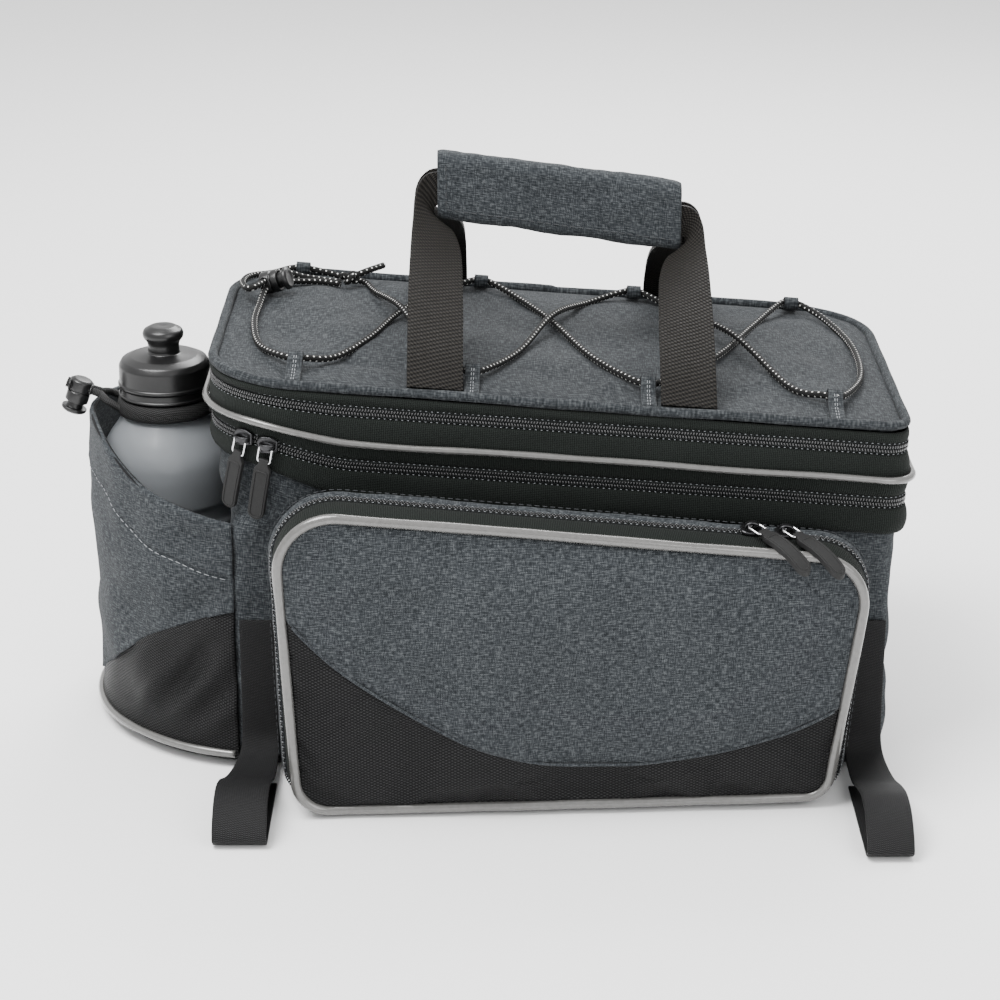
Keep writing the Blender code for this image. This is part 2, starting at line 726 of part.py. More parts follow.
def make_pocket(body_cutter):
    """The padded front pocket."""
    half_zip = POCKET_ZIP_WIDTH / 2 / (POCKET_BACK_Y - POCKET_FRONT_Y)
    gap = CLEAR / (POCKET_BACK_Y - POCKET_FRONT_Y)
    zip_back = POCKET_ZIP_SHARE - half_zip
    zip_front = POCKET_ZIP_SHARE + half_zip
    pipe = (POCKET_PIPE_RADIUS + 2 * CLEAR) / (POCKET_BACK_Y - POCKET_FRONT_Y)
    gusset = sheet("pocket_gusset", [pocket_row(share) for share in
                                     (0.0, 0.3, POCKET_MIDDLE_SHARE, zip_back - gap)], "heather_fabric")
    thicken(gusset, POCKET_WALL)
    cut(gusset, body_cutter)
    tape = sheet("pocket_front_tape", [pocket_row(zip_front + gap), pocket_row(1.0 - pipe)],
                 "ribbed_band")
    thicken(tape, POCKET_WALL)
    rows = [pocket_row(zip_back), pocket_row(zip_front)]
    last = POCKET_ARC_STEPS
    first = POCKET_CORNER_POINTS
    chain = sheet("pocket_zip_chain", [row[first:] + row[:last + 1] for row in rows], "zip_coil",
                  closed=False)
    thicken(chain, POCKET_WALL)
    lines = [[row[last].lerp(row[last + 1], HINGE_GAP_SHARE)] + row[last + 1:first]
             + [row[first].lerp(row[first - 1], HINGE_GAP_SHARE)] for row in rows]
    hinge = sheet("pocket_hinge_strip", lines, "ribbed_band", closed=False)
    thicken(hinge, POCKET_WALL)
    tube("pocket_piping", pocket_row(1.0), POCKET_PIPE_RADIUS, "silver_piping", cyclic=True)
    panel_sheet("pocket_panel_upper", True, True, "heather_fabric")
    panel_sheet("pocket_panel_lower", False, False, "ballistic_fabric", rows=3)


# Bottle and its pocket

def holder_angles():
    """Angles round the bottle pocket from its front end to its back end."""
    reach = math.acos((BODY_LEFT - 0.0015 - HOLDER_CENTRE_X) / HOLDER_RADIUS)
    steps = 16
    return [-reach - (2 * math.pi - 2 * reach) * step / steps for step in range(steps + 1)]


def holder_row(column, inset=0.0, height=None):
    """One row round the bottle pocket, at a height or at one that its table gives."""
    row = []
    for angle in holder_angles():
        share = abs(math.sin(angle))
        radius = HOLDER_RADIUS - inset
        z = height if height is not None else HOLDER_MOUTH * table_value(HOLDER_ROWS, share, column)
        row.append(Vector((HOLDER_CENTRE_X + radius * math.cos(angle), radius * math.sin(angle), z)))
    inside = BODY_LEFT + 0.008
    front = Vector((inside, row[0].y + 0.008, row[0].z))
    back = Vector((inside, row[-1].y - 0.008, row[-1].z))
    return [front] + row + [back]


def lowered(row, amount):
    """A row of points moved down."""
    return [Vector((point.x, point.y, point.z - amount)) for point in row]


def make_holder(body_cutter):
    """The bottle pocket sewn to the left end of the bag."""
    seam = holder_row(2)
    mouth = holder_row(1)
    middle = [low.lerp(high, 0.5) for low, high in zip(seam, mouth)]
    wall = sheet("bottle_pocket", [row[::-1] for row in
                                   (lowered(seam, -CLEAR), middle,
                                    lowered(mouth, 2 * HOLDER_BINDING_RADIUS + CLEAR))],
                 "heather_fabric", closed=False)
    thicken(wall, HOLDER_WALL)
    cut(wall, body_cutter)
    base_rows = [holder_row(0, 0.006, CLEAR), holder_row(0, 0.0015, 0.0035),
                 holder_row(0, 0.0, HOLDER_PIPE_HEIGHT), seam]
    base = sheet("bottle_pocket_base", [row[::-1] for row in base_rows], "ballistic_fabric",
                 closed=False, cap_first=True)
    thicken(base, HOLDER_WALL)
    cut(base, body_cutter)
    rim_line = lowered(mouth, HOLDER_BINDING_RADIUS)
    inward = [Vector((HOLDER_CENTRE_X - point.x, -point.y, 0)).normalized() for point in rim_line]
    binding = tube("pocket_binding", [point + way * HOLDER_WALL / 2 for point, way in
                                      zip(rim_line[1:-1], inward[1:-1])],
                   HOLDER_BINDING_RADIUS, "ballistic_fabric")
    binding = as_mesh(binding)
    cut(binding, body_cutter)
    line = holder_row(0, -HOLDER_PIPE_RADIUS - CLEAR, HOLDER_PIPE_HEIGHT)[1:-1]
    tube("bottle_pocket_piping", line, HOLDER_PIPE_RADIUS, "silver_piping")


def make_bottle():
    """A squeeze bottle: hollow body, screw cap and a nozzle that slides on the cap's spout."""
    radius = BOTTLE_RADIUS
    neck = BOTTLE_NECK_RADIUS
    foot = BOTTLE_FOOT
    outer = ((neck, BOTTLE_NECK_TOP), (neck, 0.1630), (neck + 0.0025, 0.1615), (0.0275, 0.1560),
             (0.0330, 0.1475), (radius, 0.1405), (radius, foot + 0.009), (radius - 0.007, foot))
    inner = [(r - BOTTLE_WALL, z) for r, z in outer[:-2]]
    inner += [(radius - BOTTLE_WALL, foot + 0.010), (radius - 0.008, foot + BOTTLE_WALL)]
    profile = [(0.0, foot + BOTTLE_WALL)] + inner[::-1] + list(outer) + [(0.0, foot)]
    bottle = turned("bottle_body", profile, "bottle_plastic")
    hollow = neck + CLEAR
    cap_profile = ((0.0, SPOUT_TOP), (SPOUT_RADIUS, SPOUT_TOP), (SPOUT_RADIUS, CAP_TOP),
                   (0.0120, CAP_TOP), (CAP_RADIUS - 0.002, CAP_SHOULDER + 0.002),
                   (CAP_RADIUS, CAP_SHOULDER), (CAP_RADIUS, CAP_BOTTOM), (hollow, CAP_BOTTOM),
                   (hollow, BOTTLE_NECK_TOP + CLEAR), (0.0, BOTTLE_NECK_TOP + CLEAR))
    cap = turned("bottle_cap", cap_profile, "black_plastic")
    bore = SPOUT_RADIUS + CLEAR
    nozzle_profile = ((0.0, NOZZLE_TOP), (0.0065, NOZZLE_TOP), (NOZZLE_RADIUS, NOZZLE_TOP - 0.003),
                      (NOZZLE_RADIUS, NOZZLE_TOP - 0.006), (0.0085, NOZZLE_TOP - 0.009),
                      (0.0085, CAP_TOP + CLEAR), (bore, CAP_TOP + CLEAR), (bore, SPOUT_TOP + CLEAR),
                      (0.0, SPOUT_TOP + CLEAR))
    nozzle = turned("bottle_nozzle", nozzle_profile, "black_plastic", sides=16)
    for thing in (bottle, cap, nozzle):
        thing.location.x = BOTTLE_X


# Handles

def leg_rows(end, side, depth_sign):
    """Outer and inner edge points of one leg, from its foot up into the grip."""
    foot_y = depth_sign * HANDLE_FOOT_DEPTH
    grip_z = GRIP_CENTRE + GRIP_SLOPE * end
    inside = depth_sign * (GRIP_THICK / 2 - GRIP_WALL - CLEAR - WEBBING_THICK / 2)
    rows = []
    for outer, outer_rise, inner, inner_rise, depth in LEG_ROWS:
        y = inside + (foot_y - inside) * depth
        row = []
        for share, rise, foot_share in ((outer, outer_rise, 0.5), (inner, inner_rise, -0.5)):
            foot_z = lid_top(end + side * foot_share * WEBBING_WIDTH, foot_y) + WEBBING_THICK / 2 + CLEAR
            row.append(Vector((end + side * share * WEBBING_WIDTH, y, foot_z + (grip_z - foot_z) * rise)))
        rows.append(row)
    return rows


def make_handles():
    """Two straps that both run through the wrapped grip."""
    half = GRIP_LENGTH / 2
    for name, depth_sign in (("handle_strap_front", -1), ("handle_strap_back", 1)):
        left = leg_rows(-half, -1, depth_sign)
        right = leg_rows(half, 1, depth_sign)
        strap = sheet(name, left + right[::-1], "webbing", closed=False)
        thicken(strap, WEBBING_THICK, offset=0.0)
    corner = 0.0055
    y = GRIP_THICK / 2
    z = GRIP_HEIGHT / 2
    outline = filleted(((-y, -z, corner), (y, -z, corner), (y, z, corner), (-y, z, corner)), 3, 0)
    rows = []
    for share in (-1, 0, 1):
        x = share * half
        rows.append([Vector((x, point.x, GRIP_CENTRE + GRIP_SLOPE * x + point.y)) for point in outline])
    grip = sheet("handle_grip", rows, "heather_fabric")
    thicken(grip, GRIP_WALL)


# Cord of the lid

def tab_eye(x, front):
    """Middle of the eye in a cord tab."""
    length = TAB_FRONT_LENGTH if front else TAB_BACK_LENGTH
    y = LID_HALF_DEPTH - 2 * LID_PIPE_RADIUS - length
    return Vector((x, -y if front else y, rim(x) + TAB_RISE))


def make_tab(name, x, front):
    """A folded strip of fabric with the cord's eye at its tip."""
    length = TAB_FRONT_LENGTH if front else TAB_BACK_LENGTH
    hole = CORD_RADIUS + 3 * CLEAR
    outer = hole + TAB_THICK
    ring = [(length + outer * math.cos(math.radians(angle)),
             TAB_RISE + outer * math.sin(math.radians(angle))) for angle in range(-90, 121, 30)]
    strip = [(0.0028, 0.0008)] + ring + [(length - 2.1 * outer, TAB_RISE * 0.72), (0.0028, 0.0030)]
    eye = [(length + hole * math.cos(math.radians(angle)),
            TAB_RISE + hole * math.sin(math.radians(angle))) for angle in range(0, 360, 45)]
    tab = flat_outline(name, [strip, eye], TAB_WIDTH, "heather_fabric")
    inward = 1 if front else -1
    edge = tab_eye(x, front) - Vector((0, inward * length, TAB_RISE))
    tab.matrix_world = axes(edge, (0, inward, 0), (-LID_SLOPE, 0, 1), (inward, 0, inward * LID_SLOPE))


def through_tab(x, front, towards_right):
    """Two route points that lead the cord straight through a tab."""
    eye = tab_eye(x, front)
    step = TAB_WIDTH / 2 + 0.0010
    ends = (-step, step) if towards_right else (step, -step)
    return [eye + Vector((offset, 0, offset * LID_SLOPE)) for offset in ends]


def on_lid(points):
    """Route points laid on the lid."""
    return [Vector((x, y, lid_top(x, y) + CORD_RADIUS + CLEAR + 0.0002 + lift)) for x, y, lift in points]


LOCK_CENTRE = Vector((-0.1570, 0.0460, 0.0))
LOCK_AXIS = Vector((0.93, -0.24, 0.28)).normalized()
LOCK_WAY = Vector((-0.25, -0.97, 0.0)).normalized()


def lock_place():
    """Middle of the lock's cord hole, resting on the lid."""
    x, y, _ = LOCK_CENTRE
    return Vector((x, y, lid_top(x, y) + LOCK_RADIUS + 0.0012))


def through_lock(offset):
    """Two route points that lead a strand straight through the lock."""
    upward = LOCK_AXIS.cross(LOCK_WAY)
    if upward.z < 0:
        upward.negate()
    centre = lock_place() + upward * offset
    reach = LOCK_RADIUS + 0.001
    return [centre - LOCK_WAY * reach, centre + LOCK_WAY * reach]


def cord_route():
    """The whole route of the lid's cord, from the knot and back to it."""
    pair = CORD_RADIUS + CLEAR
    route = on_lid(CORD_LEAD_IN) + through_lock(-pair) + on_lid(CORD_AFTER_LOCK)
    route += through_tab(TAB_FRONT_X[0], True, True) + on_lid(CORD_LEGS["front_1_to_back_2"])
    route += through_tab(TAB_BACK_X[1], False, True) + on_lid(CORD_LEGS["back_2_to_front_3"])
    route += through_tab(TAB_FRONT_X[2], True, True) + on_lid(CORD_LEGS["front_3_to_back_4"])
    route += through_tab(TAB_BACK_X[3], False, True) + on_lid(CORD_LEGS["back_4_to_front_4"])
    route += through_tab(TAB_FRONT_X[3], True, False) + on_lid(CORD_LEGS["front_4_to_back_3"])
    route += through_tab(TAB_BACK_X[2], False, False) + on_lid(CORD_LEGS["back_3_to_front_2"])
    route += through_tab(TAB_FRONT_X[1], True, False) + on_lid(CORD_LEGS["front_2_to_back_1"])
    route += through_tab(TAB_BACK_X[0], False, False) + on_lid(CORD_LEGS["round_the_lock"])
    return route + through_lock(pair)[::-1] + on_lid(CORD_LEAD_OUT)


def make_cord():
    """The tabs, the elastic cord through them, its lock and its knot."""
    for index, x in enumerate(TAB_FRONT_X):
        make_tab(f"cord_tab_front_{index + 1}", x, True)
    for index, x in enumerate(TAB_BACK_X):
        make_tab(f"cord_tab_back_{index + 1}", x, False)
    path = smooth_path(cord_route(), CORD_SPACING)
    tube("bungee_cord", path, CORD_RADIUS, "cord")
    frame = axes(lock_place(), LOCK_WAY, LOCK_AXIS.cross(LOCK_WAY), LOCK_AXIS)
    make_lock("cord_lock", frame, LOCK_RADIUS, LOCK_LENGTH, CORD_RADIUS, LOCK_RADIUS)


def make_knot():
    """The knot in the cord's two ends, with the short tail that stands off it."""
    x, y, _ = CORD_LEAD_IN[0]
    centre = Vector((x + KNOT_RADIUS + 2 * CLEAR, y + 0.0020, lid_top(x, y) + KNOT_RADIUS + CLEAR))
    bm = bmesh.new()
    bmesh.ops.create_uvsphere(bm, u_segments=10, v_segments=6, radius=KNOT_RADIUS,
                              matrix=Matrix.Translation(centre))
    knot = mesh_object("bungee_knot", bm, "cord")
    tail = [centre, centre + Vector((0.009, 0.005, 0.0025)), centre + Vector((0.018, 0.015, 0.0030))]
    tail = as_mesh(tube("bungee_tail", smooth_path(tail, 0.005), CORD_RADIUS, None))
    model.objects.unlink(tail)
    place(tail, None, cutters)
    modify(knot, "BOOLEAN", operation="UNION", object=tail, solver="EXACT")


def make_lock(prefix, frame, radius, length, cord_radius, head_radius):
    """A cord lock: a barrel with a hole across it, and a spring button in its open end."""
    slot_half = 2 * cord_radius + 2 * CLEAR
    bore = radius - 0.0016
    low = -cord_radius - 0.0024
    bore_floor = cord_radius + 0.0013
    top = low + length
    barrel = cylinder(f"{prefix}_barrel", radius, low, top, "black_plastic")
    slot = block(f"{prefix}_slot", (4 * radius, 2 * slot_half, 2 * (cord_radius + CLEAR)), (0, 0, 0),
                 None, cutters)
    well = cylinder(f"{prefix}_well", bore, bore_floor, top + 0.01, None, cutters)
    stem = bore - CLEAR
    rest = bore_floor + CLEAR + LOCK_TRAVEL
    head_low = top + CLEAR + LOCK_TRAVEL
    profile = ((0.0, head_low + 0.0026), (head_radius - 0.0010, head_low + 0.0026),
               (head_radius, head_low + 0.0016), (head_radius, head_low), (stem, head_low),
               (stem, rest), (0.0, rest))
    button = turned(f"{prefix}_button", profile, "black_plastic", sides=16)
    for thing in (barrel, slot, well, button):
        thing.matrix_world = frame
    cut(barrel, slot)
    cut(barrel, well)


# Elastic of the bottle pocket

HOLDER_LOCK_CENTRE = Vector((-0.2552, 0.0, 0.1772))
HOLDER_LOCK_AXIS = Vector((-0.33, 0.0, -0.94)).normalized()
HOLDER_LOCK_WAY = Vector((-0.94, 0.0, 0.33)).normalized()
HOLDER_CORD_LEFT = Vector((-0.2405, -0.0080, 0.1715))
HOLDER_CORD_RIGHT = (Vector((-0.1828, -0.0098, 0.1665)), Vector((-0.1801, -0.0058, 0.1622)))
HOLDER_CORD_TURN = Vector((-0.1791, 0.0, 0.1590))


def holder_cord_route():
    """From the lock round the front of the bottle's neck to the bag, and back behind the neck."""
    pair = Vector((0, -HOLDER_CORD_RADIUS - CLEAR, 0))
    reach = HOLDER_LOCK_WAY * (LOCK_RADIUS + 0.0015)
    ring = BOTTLE_NECK_RADIUS + HOLDER_CORD_RADIUS + 2 * CLEAR
    front = [HOLDER_LOCK_CENTRE + reach + pair, HOLDER_LOCK_CENTRE - reach + pair,
             HOLDER_LOCK_CENTRE - reach * 1.5 + pair * 1.15, HOLDER_CORD_LEFT]
    for degrees in range(205, 345, 15):
        angle = math.radians(degrees)
        front.append(Vector((BOTTLE_X + ring * math.cos(angle), ring * math.sin(angle),
                             HOLDER_RING_HEIGHT)))
    front += HOLDER_CORD_RIGHT
    back = [Vector((point.x, -point.y, point.z)) for point in front]
    return front + [HOLDER_CORD_TURN] + back[::-1]


def make_holder_cord():
    """The elastic round the bottle's neck and its lock."""
    tube("pocket_cord", smooth_path(holder_cord_route(), 0.009), HOLDER_CORD_RADIUS, "cord")
    across = HOLDER_LOCK_AXIS.cross(HOLDER_LOCK_WAY)
    frame = axes(HOLDER_LOCK_CENTRE, HOLDER_LOCK_WAY, across, HOLDER_LOCK_AXIS)
    make_lock("pocket_lock", frame, LOCK_RADIUS, LOCK_LENGTH + 0.002, HOLDER_CORD_RADIUS,
              LOCK_RADIUS + 0.0006)


# Zip sliders and pulls

def make_slider(number, seat, chain_way, normal, pull_way):
    """One slider on its zip, with its wire loop and rubber pull hanging along pull_way."""
    hinge = pull_way.cross(normal).normalized()
    arch_rise = ARCH_RADIUS - 0.0006
    plate_middle = seat + normal * (CLEAR + SLIDER_THICK / 2)
    pivot = seat + normal * (CLEAR + SLIDER_THICK + arch_rise)
    plate = block(f"zip_slider_{number}", (SLIDER_LENGTH, SLIDER_WIDTH, SLIDER_THICK), (0, 0, 0),
                  "slider_metal")
    plate.matrix_world = axes(plate_middle, chain_way, normal.cross(chain_way), normal)
    modify(plate, "BEVEL", width=0.0008, segments=1)
    dome = [(ARCH_RADIUS * math.cos(math.radians(angle)), ARCH_RADIUS * math.sin(math.radians(angle)))
            for angle in range(0, 181, 30)]
    foot = -arch_rise - SLIDER_THICK / 2
    profile = [(ARCH_RADIUS, foot)] + dome + [(-ARCH_RADIUS, foot)]
    hole_radius = WIRE_RADIUS + 0.0006
    hole = [(hole_radius * math.cos(math.radians(angle)), hole_radius * math.sin(math.radians(angle)))
            for angle in range(0, 360, 36)]
    arch = flat_outline(f"slider_arch_{number}", [profile, hole], ARCH_WIDTH, None)
    arch.matrix_world = axes(pivot, pull_way, normal, hinge)
    bpy.context.view_layer.update()
    arch = as_mesh(arch)
    model.objects.unlink(arch)
    place(arch, None, cutters)
    modify(plate, "BOOLEAN", operation="UNION", object=arch, solver="EXACT")
    frame = axes(pivot, -hinge, -pull_way, normal)
    half = WIRE_WIDTH / 2
    loop = filleted(((-half, -WIRE_LENGTH, 0.0012), (half, -WIRE_LENGTH, 0.0012), (half, 0, 0.0012),
                     (-half, 0, 0.0012)), 1, 0)
    wire = tube(f"zip_pull_wire_{number}", [(x, y, 0.0) for x, y in loop], WIRE_RADIUS, "pull_wire",
                cyclic=True)
    wire.matrix_world = frame
    neck = PULL_NECK_WIDTH / 2
    side = PULL_WIDTH / 2
    top = -WIRE_LENGTH + WIRE_RADIUS + 0.0012
    shoulder = -WIRE_LENGTH - WIRE_RADIUS - 0.0008
    end = top - PULL_LENGTH
    tip = [(side * math.cos(math.radians(angle)), end + side + side * math.sin(math.radians(angle)))
           for angle in range(0, -181, -30)]
    outline = [(neck, top), (neck, shoulder), (side, shoulder - 0.0012)] + tip
    outline += [(-side, shoulder - 0.0012), (-neck, shoulder), (-neck, top)]
    pull = flat_outline(f"zip_pull_{number}", [outline], PULL_THICK, "pull_rubber")
    pull.matrix_world = frame
    bpy.context.view_layer.update()
    pull = as_mesh(pull)
    pull.data.materials.clear()
    pull.data.materials.append(material("pull_rubber"))
    bore = cylinder(f"pull_bore_{number}", WIRE_RADIUS + CLEAR, -side, side, None, cutters, sides=10)
    bar = pivot + pull_way * WIRE_LENGTH
    bore.matrix_world = axes(bar, normal, pull_way, hinge)
    cut(pull, bore)


def pocket_top(x, share):
    """A point on the straight top of the pocket's side."""
    outline = pocket_outline(share)
    right = outline[2 * POCKET_CORNER_POINTS + POCKET_ARC_STEPS]
    left = outline[3 * POCKET_CORNER_POINTS]
    z = right.y + (left.y - right.y) * (right.x - x) / (right.x - left.x)
    return Vector((x, POCKET_BACK_Y + (pocket_front(x) - POCKET_BACK_Y) * share, z))


def make_sliders():
    """Two sliders on the lower zip at the front left corner and two on the pocket's zip."""
    for number, (x, lean) in enumerate(zip(LOWER_SLIDER_X, LOWER_PULL_LEAN), 1):
        y, normal = front_of_lid(x, -0.0002)
        seat = Vector((x, y, rim(x) - LOWER_ZIP_DROP * pinch(x)))
        along = Vector((-normal.y, normal.x, 0))
        angle = math.radians(lean)
        down = -along * math.sin(angle) + Vector((0, 0, -math.cos(angle)))
        make_slider(number, seat, along, normal, down)
    for number, x in enumerate(POCKET_SLIDER_X, 3):
        seat = pocket_top(x, POCKET_ZIP_SHARE)
        along = (pocket_top(x + 0.01, POCKET_ZIP_SHARE) - seat).normalized()
        forward = (pocket_top(x, POCKET_ZIP_SHARE + 0.1) - seat).normalized()
        normal = forward.cross(along).normalized()
        if normal.z < 0:
            normal.negate()
        heading = math.radians(POCKET_PULL_HEADING)
        dip = math.radians(POCKET_PULL_DIP)
        way = Vector((math.sin(heading) * math.cos(dip), -math.cos(heading) * math.cos(dip),
                      -math.sin(dip)))
        hinge = way.cross(normal).normalized()
        make_slider(number, seat, along, normal, normal.cross(hinge).normalized())


# Side straps

def make_side_strap(name, x, reach):
    """A strap down the front of the body and forward on the floor, turned back in a loop."""
    face = -(BODY_HALF_DEPTH + 2 * CLEAR + STRAP_THICK / 2)
    route = [Vector((x, face, STRAP_TOP))]
    route += [Vector((x, face - reach * share, STRAP_HUMP * height)) for share, height in STRAP_ROWS]
    path = smooth_path(route, 0.012)
    side = Vector((STRAP_WIDTH / 2, 0, 0))
    strap = sheet(name, [[point - side, point + side] for point in path], "webbing", closed=False)
    thicken(strap, STRAP_THICK, offset=0.0)


def build():
    """Make the whole bag."""
    clear_scene()
    make_bands()
    make_lid()
    body_cutter = make_body()
    make_pocket(body_cutter)
    make_holder(body_cutter)
    make_bottle()
    make_handles()
    make_cord()
    make_knot()
    make_holder_cord()
    make_sliders()
    make_side_strap("side_strap_left", STRAP_LEFT_X, STRAP_LEFT_REACH)
    make_side_strap("side_strap_right", STRAP_RIGHT_X, STRAP_RIGHT_REACH)


build()
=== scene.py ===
"""Looks of the bicycle trunk bag: cloth, bands, zips, piping, straps, cord and bottle round the CAD frame.

Metres, +Z up, -Y is the front, as in the frame.  The outlines and routes repeat the named sizes
of the CAD part, and every soft or detailed piece takes the place of its CAD node.
"""
import math

import bmesh
import bpy
import numpy as np
from mathutils import Matrix, Vector


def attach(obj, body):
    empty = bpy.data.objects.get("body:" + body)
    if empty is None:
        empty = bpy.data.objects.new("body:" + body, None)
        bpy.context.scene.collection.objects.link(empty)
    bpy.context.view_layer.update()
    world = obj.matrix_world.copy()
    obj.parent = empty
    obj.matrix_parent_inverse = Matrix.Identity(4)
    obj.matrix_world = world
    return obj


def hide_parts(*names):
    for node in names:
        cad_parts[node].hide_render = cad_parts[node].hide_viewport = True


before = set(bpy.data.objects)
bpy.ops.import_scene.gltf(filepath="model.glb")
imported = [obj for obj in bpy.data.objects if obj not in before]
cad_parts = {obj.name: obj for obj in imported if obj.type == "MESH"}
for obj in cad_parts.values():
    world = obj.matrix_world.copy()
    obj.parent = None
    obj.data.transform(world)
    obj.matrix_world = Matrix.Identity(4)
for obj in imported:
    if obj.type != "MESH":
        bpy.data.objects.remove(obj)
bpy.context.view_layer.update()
CLEAR = 0.0003

# Lid and bands
LID_LEFT, LID_RIGHT, LID_HALF_DEPTH = -0.179, 0.175, 0.103
LID_HEIGHT, LID_SLOPE, LID_DOME = 0.201, -0.075, 0.004
LID_RADII = (0.045, 0.014, 0.048, 0.048)
LID_PIPE = 0.0024
UPPER_ZIP, BAND_PIPE, LOWER_ZIP, BAND_BOTTOM = 0.0115, 0.027, 0.040, 0.057
PINCH_START, PINCH_LENGTH, PINCH_SHARE = -0.105, 0.055, 0.22

# Body
BODY_LEFT, BODY_RIGHT, BODY_HALF_DEPTH = -0.168, 0.168, 0.097
BODY_RADII = (0.006, 0.006, 0.030, 0.030)

# Front pocket: corners of its outlines are (x, z, radius)
POCKET_BACK_Y, POCKET_FRONT_Y, POCKET_TURN = -0.094, -0.1513, 0.045
POCKET_BACK = ((-0.143, 0.0008, 0.012), (0.142, 0.0008, 0.012), (0.149, 0.124, 0.024), (-0.146, 0.146, 0.028))
POCKET_MIDDLE = ((-0.142, 0.0008, 0.016), (0.144, 0.0008, 0.014), (0.156, 0.138, 0.028), (-0.147, 0.168, 0.034))
POCKET_FRONT = ((-0.1325, 0.0034, 0.017), (0.1345, 0.0055, 0.013), (0.1525, 0.1335, 0.026), (-0.1415, 0.1640, 0.028))
POCKET_MIDDLE_SHARE, POCKET_ZIP_SHARE = 0.55, 0.66
FLOOR_GAP = 0.0006
POCKET_CROWN, POCKET_PIPE, POCKET_ZIP_WIDTH = 0.009, 0.0026, 0.0052
SEAM = np.array(((-0.150, 0.124), (-0.139, 0.112), (-0.127, 0.096), (-0.105, 0.077), (-0.078, 0.059),
                 (-0.045, 0.039), (-0.011, 0.029), (0.040, 0.028), (0.080, 0.034), (0.117, 0.044),
                 (0.145, 0.058), (0.160, 0.066)))

# Bottle and its pocket
HOLDER_X, HOLDER_RADIUS, HOLDER_MOUTH, HOLDER_PIPE_HEIGHT = -0.151, 0.099, 0.168, 0.0075
HOLDER_ROWS = np.array(((0.00, 1.000, 0.095), (0.20, 1.000, 0.130), (0.45, 0.976, 0.215), (0.61, 0.929, 0.295),
                        (0.76, 0.875, 0.380), (0.91, 0.839, 0.455), (1.00, 0.800, 0.530)))
HEM_DEPTH = 0.0280
BOTTLE_X, BOTTLE_RADIUS, BOTTLE_FOOT, NECK_TOP = -0.2100, 0.0365, 0.0030, 0.186

# Handles
WEBBING_WIDTH, WEBBING_THICK, FOOT_DEPTH = 0.028, 0.0018, 0.0975
GRIP_LENGTH, GRIP_HEIGHT, GRIP_THICK, GRIP_CENTRE, GRIP_SLOPE = 0.127, 0.036, 0.0135, 0.2795, -0.137
GRIP_SEAM_DROP = 0.0118
LEG_ROWS = ((0.500, 0.000, -0.500, 0.000, 1.000), (0.500, 0.220, -0.500, 0.220, 0.840),
            (0.500, 0.460, -0.490, 0.460, 0.580), (0.480, 0.680, -0.440, 0.640, 0.300),
            (0.440, 0.830, -0.260, 0.735, 0.120), (0.400, 0.950, 0.060, 0.760, 0.030),
            (0.290, 1.040, 0.070, 0.800, 0.000), (0.100, 1.085, 0.050, 0.865, 0.000),
            (-0.150, 1.085, -0.150, 0.870, 0.000))

# Cord
CORD_RADIUS = 0.00175
TAB_WIDTH, TAB_RISE, TAB_FRONT_LENGTH, TAB_BACK_LENGTH = 0.0076, 0.0062, 0.022, 0.011
TAB_FRONT_X = (-0.1345, -0.0453, 0.0433, 0.138)
TAB_BACK_X = (-0.1415, -0.0420, 0.0435, 0.132)
LOCK_RADIUS, KNOT_RADIUS = 0.0062, 0.0048
LEAD_IN = ((-0.1195, 0.0690, 0.0), (-0.1300, 0.0720, 0.0), (-0.1430, 0.0660, 0.0010))
LEAD_OUT = ((-0.1480, 0.0690, 0.0045), (-0.1400, 0.0725, 0.0020), (-0.1300, 0.0760, 0.0), (-0.1195, 0.0730, 0.0))
AFTER_LOCK = ((-0.1600, 0.0200, 0.0), (-0.1600, -0.0150, 0.0), (-0.1540, -0.0520, 0.0))
LEGS = (
    ((-0.1150, -0.0650, 0.0), (-0.0990, -0.0320, 0.0), (-0.0855, 0.0150, 0.0), (-0.0680, 0.0600, 0.0)),
    ((-0.0210, 0.0640, 0.0), (-0.0030, 0.0190, 0.0), (0.0165, -0.0380, 0.0)),
    ((0.0640, -0.0560, 0.0), (0.0860, -0.0150, 0.0), (0.1060, 0.0380, 0.0)),
    ((0.1500, 0.0690, 0.0), (0.1590, 0.0200, 0.0), (0.1570, -0.0330, 0.0)),
    ((0.1170, -0.0600, 0.0), (0.0930, 0.0040, 0.0048), (0.0680, 0.0600, 0.0)),
    ((0.0170, 0.0640, 0.0), (-0.0030, 0.0150, 0.0048), (-0.0215, -0.0380, 0.0)),
    ((-0.0660, -0.0480, 0.0), (-0.0830, 0.0080, 0.0048), (-0.0990, 0.0550, 0.0),
     (-0.1060, 0.0760, 0.0), (-0.1190, 0.0865, 0.0)),
    ((-0.1580, 0.0820, 0.0010), (-0.1690, 0.0660, 0.0030), (-0.1710, 0.0440, 0.0050), (-0.1660, 0.0280, 0.0065)),
)
LOCK_SPOT = (-0.1570, 0.0460)
LOCK_AXIS = Vector((0.93, -0.24, 0.28)).normalized()
LOCK_WAY = Vector((-0.25, -0.97, 0.0)).normalized()
HOLDER_CORD_RADIUS, HOLDER_RING_HEIGHT, NECK_RADIUS = 0.0020, 0.1672, 0.0215
HOLDER_LOCK = Vector((-0.2552, 0.0, 0.1772))
HOLDER_LOCK_AXIS = Vector((-0.33, 0.0, -0.94)).normalized()
HOLDER_LOCK_WAY = Vector((-0.94, 0.0, 0.33)).normalized()

